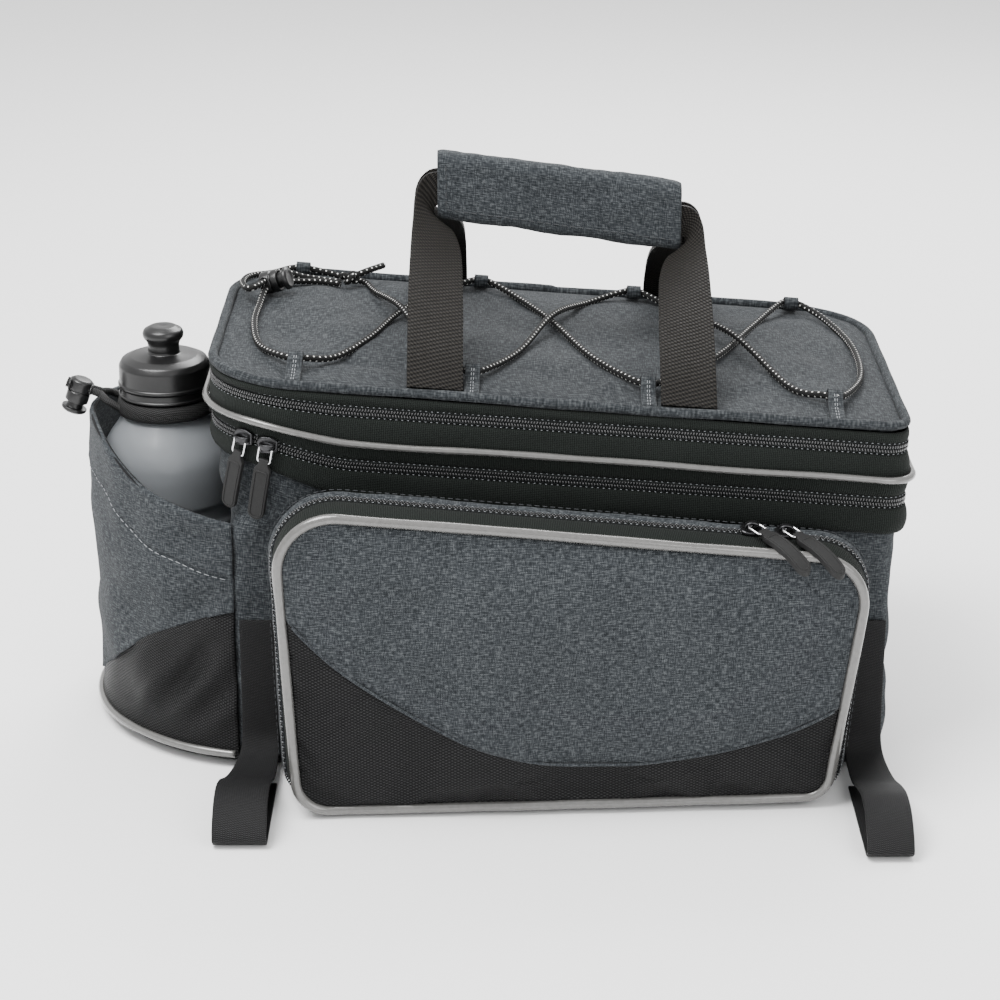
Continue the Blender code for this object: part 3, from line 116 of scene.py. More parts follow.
# Zip pulls: pivot, hinge direction, normal of the zip
PULLS = (
    ((-0.16085, -0.09911, 0.18167), (-0.80677, 0.52699, 0.26724), (-0.5469, -0.8372, 0.0)),
    ((-0.1477, -0.10515, 0.17946), (-0.94264, 0.27389, 0.19081), (-0.279, -0.9603, 0.0)),
    ((0.09394, -0.12984, 0.14727), (-0.76102, -0.6473, -0.04312), (0.1034, -0.1866, 0.977)),
    ((0.11094, -0.12936, 0.14557), (-0.76148, -0.64649, -0.04678), (0.1035, -0.1925, 0.9758)),
)
POCKET_CHAIN_WAY = (0.995, 0.045, -0.097)
STRAP_WIDTH, STRAP_SPREAD_LEFT, STRAP_SPREAD_RIGHT, STRAP_SPREAD_REACH = 0.0190, 0.0080, 0.0040, 0.045
STRAP_ROWS = ((0.00, 2.600), (0.00, 1.700), (0.01, 0.950), (0.06, 0.580), (0.18, 0.450), (0.36, 0.500),
              (0.54, 0.800), (0.70, 1.000), (0.85, 0.920), (0.96, 0.550), (1.00, 0.220), (0.96, 0.055),
              (0.85, 0.047), (0.60, 0.047), (0.25, 0.047))

# Zip teeth and sewing, cloth of the padded panels
TOOTH_PITCH, TOOTH_OFFSET, TOOTH_LEAN, TOOTH_LENGTH, TOOTH_RADIUS = 0.00145, 0.00100, 0.30, 0.0017, 0.00050
SEWING_OFFSET, SEWING_SINK, SEWING_LENGTH, SEWING_RADIUS = 0.00275, 0.0002, 0.0010, 0.00022
UPPER_PRESSURE, LOWER_PRESSURE, CLOTH_TENSION = 0.9, 0.5, 9.0
CLOTH_SHRINK, CLOTH_FRAMES, CLOTH_REACH = -0.012, 18, 0.0035

# Fold lines: start, end, width, depth; along and up each piece, or x and y on the lid
LID_CREASES = (((-0.120, -0.060), (-0.075, -0.072), 0.006, -0.0011),
               ((-0.150, -0.070), (-0.150, -0.020), 0.006, 0.0008),
               ((0.000, -0.085), (0.030, -0.060), 0.005, -0.0009), ((0.080, -0.080), (0.120, -0.050), 0.006, -0.0009),
               ((0.150, -0.060), (0.150, 0.040), 0.006, 0.0008))
FRONT_LEFT_CREASES = (((-0.165, 0.135), (-0.148, 0.150), 0.004, -0.0016),
                      ((-0.166, 0.110), (-0.150, 0.100), 0.005, -0.0010))
FRONT_RIGHT_CREASES = (((0.145, 0.150), (0.166, 0.140), 0.005, -0.0014),)
RIGHT_CREASES = (((-0.09, 0.150), (-0.02, 0.120), 0.008, -0.0020), ((0.08, 0.145), (0.03, 0.110), 0.008, -0.0018),
                 ((-0.08, 0.060), (0.00, 0.045), 0.009, -0.0012))
BACK_CREASES = (((-0.14, 0.150), (-0.05, 0.125), 0.009, -0.0018), ((0.13, 0.140), (0.04, 0.120), 0.009, -0.0018),
                ((-0.05, 0.060), (0.07, 0.050), 0.010, -0.0012))
POCKET_CREASES = (((-0.135, 0.100), (-0.095, 0.118), 0.006, -0.0014), ((0.148, 0.080), (0.115, 0.092), 0.007, -0.0016),
                  ((0.10, 0.045), (0.02, 0.036), 0.006, -0.0008))
HOLDER_CREASES = (((0.006, 0.098), (0.040, 0.075), 0.006, -0.0020), ((0.004, 0.122), (0.030, 0.128), 0.005, -0.0012),
                  ((0.020, 0.070), (0.060, 0.055), 0.006, -0.0014))
FOOT_CREASES = (((0.010, 0.070), (0.050, 0.030), 0.006, -0.0030), ((0.030, 0.060), (0.075, 0.018), 0.006, 0.0020),
                ((0.004, 0.045), (0.035, 0.016), 0.006, -0.0026))

# Camera, lights (name, place, energy, size), world and floor
LIGHTS = (("key", (-0.6, -0.4, 1.5), 44.0, 0.9), ("fill", (0.9, -1.3, 0.8), 12.0, 1.0),
          ("back", (0.3, 1.2, 1.3), 30.0, 0.9))
WORLD_LIGHT, FLOOR_SIZE, FLOOR_DROP = 1.30, 6.0, 0.0006
CAMERA_AIM, CAMERA_PITCH, CAMERA_DISTANCE, CAMERA_LENS = Vector((-0.031, 0, 0.112)), 20.5, 1.50, 99.4


# Camera, lights and floor

def make_studio():
    """Camera at the photograph's angle, a white floor and soft lights."""
    pitch = math.radians(CAMERA_PITCH)
    data = bpy.data.cameras.new("camera")
    data.lens = CAMERA_LENS
    data.sensor_width = 36.0
    camera = bpy.data.objects.new("camera", data)
    camera.location = CAMERA_AIM + Vector((0, -math.cos(pitch), math.sin(pitch))) * CAMERA_DISTANCE
    camera.rotation_euler = (math.radians(90) - pitch, 0, 0)
    bpy.context.scene.collection.objects.link(camera)
    bpy.context.scene.camera = camera
    world = bpy.data.worlds.new("studio")
    world.use_nodes = True
    world.node_tree.nodes["Background"].inputs[0].default_value = (1.0, 1.0, 1.0, 1.0)
    world.node_tree.nodes["Background"].inputs[1].default_value = WORLD_LIGHT
    bpy.context.scene.world = world
    for name, place, energy, size in LIGHTS:
        light = bpy.data.lights.new(name, "AREA")
        light.energy = energy
        light.size = size
        thing = bpy.data.objects.new(name, light)
        thing.location = place
        thing.rotation_euler = (CAMERA_AIM - Vector(place)).to_track_quat("-Z", "Y").to_euler()
        bpy.context.scene.collection.objects.link(thing)
    bm = bmesh.new()
    bmesh.ops.create_grid(bm, x_segments=1, y_segments=1, size=FLOOR_SIZE)
    mesh = bpy.data.meshes.new("floor")
    bm.to_mesh(mesh)
    bm.free()
    floor = bpy.data.objects.new("floor", mesh)
    floor.location.z = -FLOOR_DROP
    bpy.context.scene.collection.objects.link(floor)
    mesh.materials.append(nodes_of("floor_white", (0.93, 0.93, 0.93), 0.9)[0])


# Materials

def nodes_of(name, colour, roughness, metallic=0.0):
    """A new material with its node tree and shader."""
    made = bpy.data.materials.new(name)
    made.use_nodes = True
    tree = made.node_tree
    shader = tree.nodes["Principled BSDF"]
    shader.inputs["Base Color"].default_value = (*colour, 1.0)
    shader.inputs["Roughness"].default_value = roughness
    shader.inputs["Metallic"].default_value = metallic
    shader.inputs["Specular IOR Level"].default_value = 0.5 if roughness < 0.35 or metallic else 0.12
    return made, tree, shader


def math_node(tree, operation, first, second=None, third=None):
    """A Math node fed by links or numbers."""
    node = tree.nodes.new("ShaderNodeMath")
    node.operation = operation
    for slot, value in enumerate((first, second, third)):
        if value is None:
            continue
        if isinstance(value, (int, float)):
            node.inputs[slot].default_value = value
        else:
            tree.links.new(value, node.inputs[slot])
    return node.outputs[0]


def noise(tree, vector, scale, stretch=(1, 1, 1), detail=2.0, roughness=0.5):
    """A Noise Texture read in stretched coordinates."""
    mapping = tree.nodes.new("ShaderNodeMapping")
    mapping.inputs["Scale"].default_value = stretch
    tree.links.new(vector, mapping.inputs["Vector"])
    node = tree.nodes.new("ShaderNodeTexNoise")
    node.inputs["Scale"].default_value = scale
    node.inputs["Detail"].default_value = detail
    node.inputs["Roughness"].default_value = roughness
    tree.links.new(mapping.outputs[0], node.inputs["Vector"])
    return node.outputs[0]


def ramp(tree, value, stops):
    """A Color Ramp through (place, colour) stops."""
    node = tree.nodes.new("ShaderNodeValToRGB")
    while len(node.color_ramp.elements) < len(stops):
        node.color_ramp.elements.new(0.5)
    for element, (place, colour) in zip(node.color_ramp.elements, stops):
        element.position = place
        element.color = (*colour, 1.0)
    tree.links.new(value, node.inputs[0])
    return node.outputs[0]


def dress(tree, shader, colour, height, distance, strength):
    """Colour the shader and bump its normal by a height."""
    tree.links.new(colour, shader.inputs["Base Color"])
    node = tree.nodes.new("ShaderNodeBump")
    node.inputs["Strength"].default_value = strength
    node.inputs["Distance"].default_value = distance
    tree.links.new(height, node.inputs["Height"])
    tree.links.new(node.outputs[0], shader.inputs["Normal"])


def uv_parts(tree):
    """UV vector in metres and its two parts."""
    coordinates = tree.nodes.new("ShaderNodeTexCoord")
    split = tree.nodes.new("ShaderNodeSeparateXYZ")
    tree.links.new(coordinates.outputs["UV"], split.inputs[0])
    return coordinates.outputs["UV"], split.outputs[0], split.outputs[1]


def wave(tree, value, period, phase=0.0):
    """Sine of a length, from -1 to 1."""
    return math_node(tree, "SINE", math_node(tree, "MULTIPLY_ADD", value, 2 * math.pi / period, phase))


def heather(name, shade=1.0, deep=1.0):
    """Melange canvas: streaky light and dark threads both ways in a fine plain weave."""
    made, tree, shader = nodes_of(name, (0.1, 0.11, 0.12), 0.88)
    uv, u, v = uv_parts(tree)
    across = noise(tree, uv, 1.0, (270, 1750 * deep, 1), 1.0, 0.4)
    along = noise(tree, uv, 1.0, (1750, 330 * deep, 1), 1.0, 0.4)
    cloud = noise(tree, uv, 30.0, (1, 1, 1), 2.0, 0.5)
    threads = math_node(tree, "MULTIPLY_ADD", across, 0.56, math_node(tree, "MULTIPLY", along, 0.44))
    mixed = math_node(tree, "MULTIPLY_ADD", cloud, 0.06, math_node(tree, "MULTIPLY", threads, 0.94))
    dark, middle, light = (tuple(part * shade for part in colour) for colour in
                           ((0.0105, 0.0125, 0.0145), (0.0270, 0.0305, 0.0340), (0.0700, 0.0760, 0.0800)))
    colour = ramp(tree, mixed, ((0.36, dark), (0.50, middle), (0.64, light)))
    weave = math_node(tree, "MULTIPLY", wave(tree, u, 0.0011), wave(tree, v, 0.0009))
    height = math_node(tree, "MULTIPLY_ADD", weave, 0.3, threads)
    dress(tree, shader, colour, height, 0.00035, 0.7)
    shader.inputs["Sheen Weight"].default_value = 0.04
    shader.inputs["Sheen Roughness"].default_value = 0.5
    return made


def ribbed(name, base=(0.0050, 0.0063, 0.0054), period=0.0011):
    """Woven tape with fine upright ribs."""
    made, tree, shader = nodes_of(name, base, 0.82)
    uv, u, v = uv_parts(tree)
    grain = noise(tree, uv, 1.0, (1500, 600, 1), 2.0, 0.6)
    rib = math_node(tree, "MULTIPLY_ADD", wave(tree, u, period), 0.5, 0.5)
    cross = math_node(tree, "MULTIPLY_ADD", wave(tree, v, 0.0009), 0.25, 0.25)
    height = math_node(tree, "ADD", math_node(tree, "ADD", rib, cross), grain)
    colour = ramp(tree, math_node(tree, "MULTIPLY", height, 0.5),
                  ((0.2, tuple(0.45 * c for c in base)), (0.9, tuple(2.3 * c for c in base))))
    dress(tree, shader, colour, height, 0.00030, 0.8)
    shader.inputs["Sheen Weight"].default_value = 0.02
    return made


def ballistic(name):
    """Coarse basket-woven nylon: staggered knots that catch the light, with painted highlights on the knot tops and
    painted shade in the hollows between them.
    """
    base = (0.0075, 0.0075, 0.0080)
    made, tree, shader = nodes_of(name, base, 0.50)
    uv, u, v = uv_parts(tree)
    knots = math_node(tree, "MULTIPLY", wave(tree, u, 0.0030), wave(tree, v, 0.0016))
    grain = noise(tree, uv, 1.0, (1800, 1800, 1), 2.0, 0.6)
    height = math_node(tree, "MULTIPLY_ADD", knots, 0.5, math_node(tree, "MULTIPLY", grain, 0.5))
    # Colour follows the knot height: painted highlight on the knot tops, painted shade in the hollows between them.
    colour = ramp(tree, height, ((0.25, (0.0020, 0.0020, 0.0022)), (0.66, (0.0230, 0.0230, 0.0235))))
    dress(tree, shader, colour, height, 0.00045, 0.9)
    return made


def webbing(name, base=(0.0048, 0.0043, 0.0037), row=0.0022, column=0.0016, depth=0.0006):
    """Nylon webbing: rows of staggered stitches across the strap, with painted highlights on the stitch tops and
    painted shade between them.
    """
    made, tree, shader = nodes_of(name, base, 0.55)
    uv, u, v = uv_parts(tree)
    slant = math_node(tree, "MULTIPLY_ADD", u, 0.35, v)
    knots = math_node(tree, "MULTIPLY", wave(tree, slant, row), wave(tree, u, 2 * column))
    grain = noise(tree, uv, 1.0, (2600, 900, 1), 2.0, 0.6)
    height = math_node(tree, "MULTIPLY_ADD", grain, 0.40, math_node(tree, "MULTIPLY_ADD", knots, 0.4, 0.15))
    # Colour follows the stitch height, from a quarter of the base colour to five times it: painted highlight on the
    # tops, painted shade between them.
    colour = ramp(tree, height, ((0.20, tuple(0.25 * c for c in base)), (0.75, tuple(5.0 * c for c in base))))
    dress(tree, shader, colour, height, depth, 0.9)
    return made


def speckled(name, colour, roughness, metallic=0.0, spread=0.25, scale=900.0, depth=0.00008, coat=0.0):
    """A moulded or drawn surface with slight colour and height variation."""
    made, tree, shader = nodes_of(name, colour, roughness, metallic)
    coordinates = tree.nodes.new("ShaderNodeTexCoord")
    grain = noise(tree, coordinates.outputs["Object"], scale, (1, 1, 1), 3.0, 0.6)
    shades = ((0.3, tuple(max(0.0, c * (1 - spread)) for c in colour)),
              (0.7, tuple(min(1.0, c * (1 + spread)) for c in colour)))
    dress(tree, shader, ramp(tree, grain, shades), grain, depth, 0.6)
    shader.inputs["Coat Weight"].default_value = coat
    return made


def flecked(name):
    """Black braid with white flecks in pairs round the cord."""
    made, tree, shader = nodes_of(name, (0.01, 0.01, 0.01), 0.6)
    uv, u, v = uv_parts(tree)
    around = math_node(tree, "MULTIPLY", u, 4.0 / (2 * math.pi * CORD_RADIUS))
    lane = math_node(tree, "FLOOR", around)
    stagger = math_node(tree, "MULTIPLY", math_node(tree, "MODULO", lane, 2.0), 0.5)
    forward = math_node(tree, "ADD", math_node(tree, "DIVIDE", v, 0.0034), stagger)
    side = math_node(tree, "SUBTRACT", math_node(tree, "FRACT", around), 0.5)
    front = math_node(tree, "SUBTRACT", math_node(tree, "FRACT", forward), 0.5)
    reach = math_node(tree, "ADD", math_node(tree, "POWER", math_node(tree, "MULTIPLY", side, 4.6), 2.0),
                      math_node(tree, "POWER", math_node(tree, "MULTIPLY", front, 6.4), 2.0))
    braid = math_node(tree, "MULTIPLY", wave(tree, u, 0.0011), wave(tree, v, 0.0009))
    colour = ramp(tree, reach, ((0.0, (0.72, 0.72, 0.70)), (0.55, (0.66, 0.66, 0.64)), (0.80, (0.012, 0.012, 0.012)),
                                (1.0, (0.010, 0.010, 0.010))))
    dress(tree, shader, colour, braid, 0.00025, 0.8)
    return made


def make_materials():
    """All finishes by name."""
    finishes = {
        "heather": heather("heather"),
        "heather_lid": heather("heather_lid", 0.80, 0.5),
        "ribbed": ribbed("ribbed"),
        "tape": ribbed("tape", (0.010, 0.011, 0.011), 0.0008),
        "ballistic": ballistic("ballistic"),
        "webbing": webbing("webbing"),
        "elastic": webbing("elastic", (0.0060, 0.0060, 0.0062), 0.0009, 0.0008, 0.0003),
        "silver": speckled("silver", (0.118, 0.116, 0.112), 0.24, 0.30, 0.12, 400.0, 0.00005, 0.6),
        "coil": speckled("coil", (0.030, 0.030, 0.031), 0.20, 0.25, 0.3, 1500.0, 0.00003, 0.6),
        "gunmetal": speckled("gunmetal", (0.045, 0.045, 0.047), 0.28, 0.9, 0.2, 700.0, 0.00004),
        "wire": speckled("wire", (0.62, 0.62, 0.63), 0.16, 1.0, 0.08, 700.0, 0.00002),
        "rubber": speckled("rubber", (0.019, 0.019, 0.019), 0.52, 0.0, 0.15, 1400.0, 0.00006),
        "black": speckled("black", (0.004, 0.004, 0.0042), 0.33, 0.0, 0.2, 300.0, 0.00004, 0.0),
        "braid": webbing("braid", (0.011, 0.011, 0.011), 0.0010, 0.0009, 0.0003),
        "cord": flecked("cord"),
        "thread": speckled("thread", (0.22, 0.23, 0.24), 0.7, 0.0, 0.2, 2500.0, 0.00005),
        "thread_dark": speckled("thread_dark", (0.045, 0.047, 0.050), 0.7, 0.0, 0.2, 2500.0, 0.00005),
        "lining": ribbed("lining", (0.006, 0.006, 0.0065), 0.0008),
        "bottle": speckled("bottle", (0.36, 0.38, 0.40), 0.30, 0.0, 0.04, 40.0, 0.00010, 0.1),
    }
    shader = finishes["bottle"].node_tree.nodes["Principled BSDF"]
    shader.inputs["Transmission Weight"].default_value = 0.55
    shader.inputs["IOR"].default_value = 1.35
    return finishes


# Mesh tools


def keep(thing, finish, *nodes, body="bag", slot=None):
    """Give a piece its finish, its body and the CAD nodes that it stands for."""
    thing.data.materials.append(FINISHES[finish])
    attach(thing, body)
    if nodes:
        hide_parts(*nodes)


def mesh_from(name, points, faces, uvs):
    """A linked mesh object from arrays, smooth-shaded; uvs holds one pair per point."""
    mesh = bpy.data.meshes.new(name)
    mesh.from_pydata([tuple(p) for p in points], [], [tuple(int(i) for i in f) for f in faces])
    layer = mesh.uv_layers.new(name="UVMap")
    corner = np.zeros(len(mesh.loops), dtype=np.int32)
    mesh.loops.foreach_get("vertex_index", corner)
    layer.data.foreach_set("uv", np.asarray(uvs, dtype=np.float32)[corner].ravel())
    mesh.shade_smooth()
    thing = bpy.data.objects.new(name, mesh)
    bpy.context.scene.collection.objects.link(thing)
    return thing


def grid_faces(rows, columns):
    """Quads of a grid of points."""
    index = np.arange(rows * columns).reshape(rows, columns)
    return np.stack([index[:-1, :-1], index[:-1, 1:], index[1:, 1:], index[1:, :-1]], -1).reshape(-1, 4)


def lengths(points):
    """Running length along the first axis of an array of points."""
    steps = np.linalg.norm(np.diff(points, axis=0), axis=-1)
    return np.concatenate([np.zeros((1,) + steps.shape[1:]), np.cumsum(steps, axis=0)])


def unit(vectors):
    """Vectors of length 1 along the last axis."""
    return vectors / np.linalg.norm(vectors, axis=-1, keepdims=True)


def read_at(want, run, points):
    """Places on a polyline at wanted running lengths."""
    return np.stack([np.interp(want, run, points[:, k]) for k in range(points.shape[1])], 1)


def uv_grid(u, v):
    """One UV pair for each point of a grid."""
    return np.stack(np.broadcast_arrays(u, v), -1).reshape(-1, 2)


def metric_uv(points):
    """UVs in metres from the grid's middle row and middle column."""
    rows, columns = points.shape[:2]
    return uv_grid(lengths(points[rows // 2])[None, :], lengths(points[:, columns // 2])[:, None])


def sheet(name, points, flip=False, uv=None):
    """A sheet through a grid of points, (rows, columns, 3); the first and last column may meet."""
    rows, columns = points.shape[:2]
    faces = grid_faces(rows, columns)
    if flip:
        faces = faces[:, ::-1]
    return mesh_from(name, points.reshape(-1, 3), faces, metric_uv(points) if uv is None else uv)


def weld(thing, distance=0.00002):
    """Join points that meet, such as a ring's first and last column."""
    bm = bmesh.new()
    bm.from_mesh(thing.data)
    bmesh.ops.remove_doubles(bm, verts=bm.verts, dist=distance)
    bm.to_mesh(thing.data)
    bm.free()
    return thing


def face_outwards(thing, fill=0):
    """Point all faces outwards, after closing open ends of up to fill sides."""
    bm = bmesh.new()
    bm.from_mesh(thing.data)
    if fill:
        bmesh.ops.holes_fill(bm, edges=[edge for edge in bm.edges if edge.is_boundary], sides=fill)
    bmesh.ops.recalc_face_normals(bm, faces=bm.faces)
    bm.to_mesh(thing.data)
    bm.free()


def soften(thing, width, segments=2):
    """Round a piece's edges."""
    bevel = thing.modifiers.new("Edges", "BEVEL")
    bevel.width = width
    bevel.segments = segments


def thicken(thing, wall, offset=-1.0):
    """Give a sheet its thickness."""
    solid = thing.modifiers.new("Wall", "SOLIDIFY")
    solid.thickness = wall
    solid.offset = offset
    return thing


def normals_of(points):
    """Unit normals of a grid of points."""
    du = np.gradient(points, axis=1)
    dv = np.gradient(points, axis=0)
    out = np.cross(du, dv)
    return out / np.maximum(np.linalg.norm(out, axis=-1, keepdims=True), 1e-12)


def ripples(a, b, seed, wavelength, count=14):
    """Smooth seeded unevenness over two lengths, about -1 to 1."""
    rng = np.random.default_rng(seed)
    total = np.zeros(np.broadcast(a, b).shape)
    for _ in range(count):
        angle = rng.uniform(0, 2 * math.pi)
        k = 2 * math.pi / (wavelength * rng.uniform(0.7, 1.9))
        total = total + np.cos(k * (a * math.cos(angle) + b * math.sin(angle)) + rng.uniform(0, 2 * math.pi))
    return total / math.sqrt(count)


def creases(a, b, rows):
    """Several fold lines together, from (start, end, width, depth) rows."""
    return sum(crease(a, b, *row) for row in rows)


def crease(a, b, start, end, width, depth):
    """A tapering fold line from start to end over two lengths; depth < 0 sinks it."""
    start, end = np.array(start), np.array(end)
    line = end - start
    t = np.clip(((a - start[0]) * line[0] + (b - start[1]) * line[1]) / (line @ line), 0, 1)
    gap = np.hypot(a - start[0] - t * line[0], b - start[1] - t * line[1])
    side = (a - start[0]) * line[1] - (b - start[1]) * line[0]
    fold = np.exp(-(gap / width) ** 2) - 0.6 * np.exp(-((gap - 1.8 * width) / width) ** 2) * (side > 0)
    return depth * fold * np.sin(math.pi * (0.12 + 0.8 * t))


def filleted(corners, arc_steps=14):
    """Points round a convex outline with rounded corners (x, y, radius), anticlockwise."""
    arcs = []
    for index, corner in enumerate(corners):
        here = Vector(corner[:2])
        before = (Vector(corners[index - 1][:2]) - here).normalized()
        after = (Vector(corners[(index + 1) % len(corners)][:2]) - here).normalized()
        half = before.angle(after) / 2
        centre = here + (before + after).normalized() * corner[2] / math.sin(half)
        spoke = here + before * corner[2] / math.tan(half) - centre
        turn = math.pi - 2 * half
        arcs.append([centre + Matrix.Rotation(turn * step / arc_steps, 2) @ spoke for step in range(arc_steps + 1)])
    points = []
    for index, arc in enumerate(arcs):
        following = arcs[(index + 1) % len(arcs)][0]
        points += arc + [(arc[-1] + following) / 2]
    return np.array([tuple(p) for p in points])


def ring(corners, count, start):
    """Evenly spaced closed ring (first point repeated) that begins at the vertex nearest to start."""
    points = filleted(corners)
    points = np.roll(points, -int(np.argmin(((points - np.array(start)) ** 2).sum(1))), axis=0)
    loop = np.vstack([points, points[:1]])
    run = lengths(loop)
    return read_at(np.linspace(0, run[-1], count + 1), run, loop)


def even_line(points, count):
    """A polyline read again at count + 1 evenly spaced places."""
    run = lengths(points)
    return read_at(np.linspace(0, run[-1], count + 1), run, points)


def eased(at, table_x, table_y, width=0.035):
    """Read a table with its corners rounded off."""
    fine = np.linspace(table_x[0], table_x[-1], 801)
    values = np.interp(fine, table_x, table_y)
    reach = max(1, int(800 * width))
    ends = np.concatenate([2 * values[0] - values[reach:0:-1], values, 2 * values[-1] - values[-2:-reach - 2:-1]])
    weights = np.hanning(2 * reach + 1)
    return np.interp(at, fine, np.convolve(ends, weights / weights.sum(), "valid"))


def smooth_path(route, spacing):
    """A smooth curve through the route's points."""
    points = [Vector(point) for point in route]
    ends = [points[0] * 2 - points[1]] + points + [points[-1] * 2 - points[-2]]
    path = []
    for before, here, there, after in zip(ends, ends[1:], ends[2:], ends[3:]):
        steps = max(1, round((there - here).length / spacing))
        for step in range(steps):
            t = step / steps
            path.append(0.5 * (2 * here + (there - before) * t + (2 * before - 5 * here + 4 * there - after) * t ** 2
                               + (3 * here - before - 3 * there + after) * t ** 3))
    path.append(points[-1])
    return np.array([tuple(p) for p in path])


def tube(name, path, radius, sides=10, closed=False, uneven=0.0, seed=1):
    """A round tube along a path, with UVs in metres."""
    path = np.array([tuple(p) for p in path])
    if closed:
        path = np.vstack([path, path[:1]])
    ahead = np.gradient(path, axis=0)
    if closed:
        ahead[0] = ahead[-1] = path[1] - path[-2]
    ahead = unit(ahead)
    side = np.cross(ahead[0], (0, 0, 1)) if abs(ahead[0][2]) < 0.9 else np.cross(ahead[0], (0, 1, 0))
    sides_of = []
    for way in ahead:
        side = unit(side - way * (side @ way))
        sides_of.append(side)
    across = np.array(sides_of)
    if closed:
        twist = math.atan2(np.cross(across[0], across[-1]) @ ahead[0], across[0] @ across[-1])
        share = np.linspace(0, 1, len(path))[:, None] * -twist
        across = across * np.cos(share) + np.cross(ahead, across) * np.sin(share)
    up = np.cross(ahead, across)
    run = lengths(path)
    angles = np.linspace(0, 2 * math.pi, sides + 1)
    thick = radius * (1 + uneven * ripples(run, 0 * run, seed, 0.03))
    if closed:
        thick[-1] = thick[0]
    points = (path[:, None, :] + thick[:, None, None] * (np.cos(angles)[None, :, None] * across[:, None, :]
                                                         + np.sin(angles)[None, :, None] * up[:, None, :]))
    uv = uv_grid((angles * radius)[None, :], run[:, None])
    thing = sheet(name, points, uv=uv)
    weld(thing)
    if not closed:
        face_outwards(thing, sides + 2)
    return thing


def lathe(name, profile, sides=64, matrix=Matrix.Identity(4)):
    """A turned solid from (radius, height) pairs, top to bottom down the outside."""
    profile = np.array(profile)
    angles = np.linspace(0, 2 * math.pi, sides + 1)
    points = np.stack([profile[:, :1] * np.cos(angles), profile[:, :1] * np.sin(angles),
                       np.repeat(profile[:, 1:], sides + 1, 1)], -1)
    uv = uv_grid((angles * profile[:, 0].max())[None, :], lengths(profile)[:, None])
    thing = weld(sheet(name, points, flip=True, uv=uv))
    face_outwards(thing)
    thing.data.transform(matrix)
    return thing


def rounded(profile, amount=0.0008, steps=3):
    """A profile with its corners cut into short arcs."""
    points = [Vector(p) for p in profile]
    out = [points[0]]
    for before, here, after in zip(points, points[1:], points[2:]):
        reach = min(amount, (before - here).length * 0.45, (after - here).length * 0.45)
        first = here + (before - here).normalized() * reach
        last = here + (after - here).normalized() * reach
        for step in range(steps + 1):
            t = step / steps
            out.append(first * (1 - t) ** 2 + here * 2 * t * (1 - t) + last * t ** 2)
    out.append(points[-1])
    return [tuple(p) for p in out]


def axes(origin, x_axis, y_axis, z_axis):
    """A placing matrix from an origin and three directions."""
    columns = [Vector(axis).normalized() for axis in (x_axis, y_axis, z_axis)]
    return Matrix.Translation(Vector(origin)) @ Matrix(columns).transposed().to_4x4()


def many(name, places, template, faces):
    """One mesh of many copies of a template; places is a list of (origin, x, y, z) arrays."""
    template = np.array(template)
    faces = np.array(faces)
    origin, x, y, z = (np.array([place[k] for place in places]) for k in range(4))
    points = (origin[:, None, :] + template[None, :, :1] * x[:, None, :] + template[None, :, 1:2] * y[:, None, :]
              + template[None, :, 2:] * z[:, None, :])
    all_faces = (faces[None] + (np.arange(len(places)) * len(template))[:, None, None]).reshape(-1, faces.shape[1])
    return mesh_from(name, points.reshape(-1, 3), all_faces, points.reshape(-1, 3)[:, :2])


def capsule(length, radius, sides=6, flat=1.0, small=False):
    """Template of a small rounded rod along its own X."""
    shares = ((-0.5, 0.3), (-0.36, 0.95), (0.36, 0.95), (0.5, 0.3)) if small else \
        ((-0.5, 0.25), (-0.42, 0.8), (-0.2, 1.0), (0.2, 1.0), (0.42, 0.8), (0.5, 0.25))
    turns = [2 * math.pi * k / sides for k in range(sides)]
    points = [(share * length, radius * size * math.cos(turn), flat * radius * size * math.sin(turn))
              for share, size in shares for turn in turns]
    faces = [(r * sides + k, r * sides + (k + 1) % sides, (r + 1) * sides + (k + 1) % sides, (r + 1) * sides + k)
             for r in range(len(shares) - 1) for k in range(sides)]
    half = sides // 2
    for base in (0, (len(shares) - 1) * sides):
        for k in range(1, half):
            quad = (base + k - 1, base + k, base + sides - k - 1, base + (sides - k) % sides)
            faces.append(quad if base else quad[::-1])
    return points, faces


def stitches(name, path, normal, finish="thread", length=0.0030, gap=0.0013, radius=0.00028):
    """A row of stitches along a path, laid on a surface with the given normals."""
    path = np.array([tuple(p) for p in path], dtype=float)
    normal = np.broadcast_to(np.array(normal, dtype=float), path.shape)
    run = lengths(path)
    count = max(2, int(run[-1] / (length + gap)))
    middle = (np.arange(count) + 0.5) * run[-1] / count
    spot = read_at(middle, run, path)
    ahead = unit(read_at(middle + length / 2, run, path) - read_at(middle - length / 2, run, path))
    out = read_at(middle, run, normal)
    out = unit(out - ahead * (out * ahead).sum(1, keepdims=True))
    template, faces = capsule(length, radius)
    places = list(zip(spot + out * radius * 0.3, ahead, np.cross(out, ahead), out))
    keep(many(name, places, template, faces), finish)


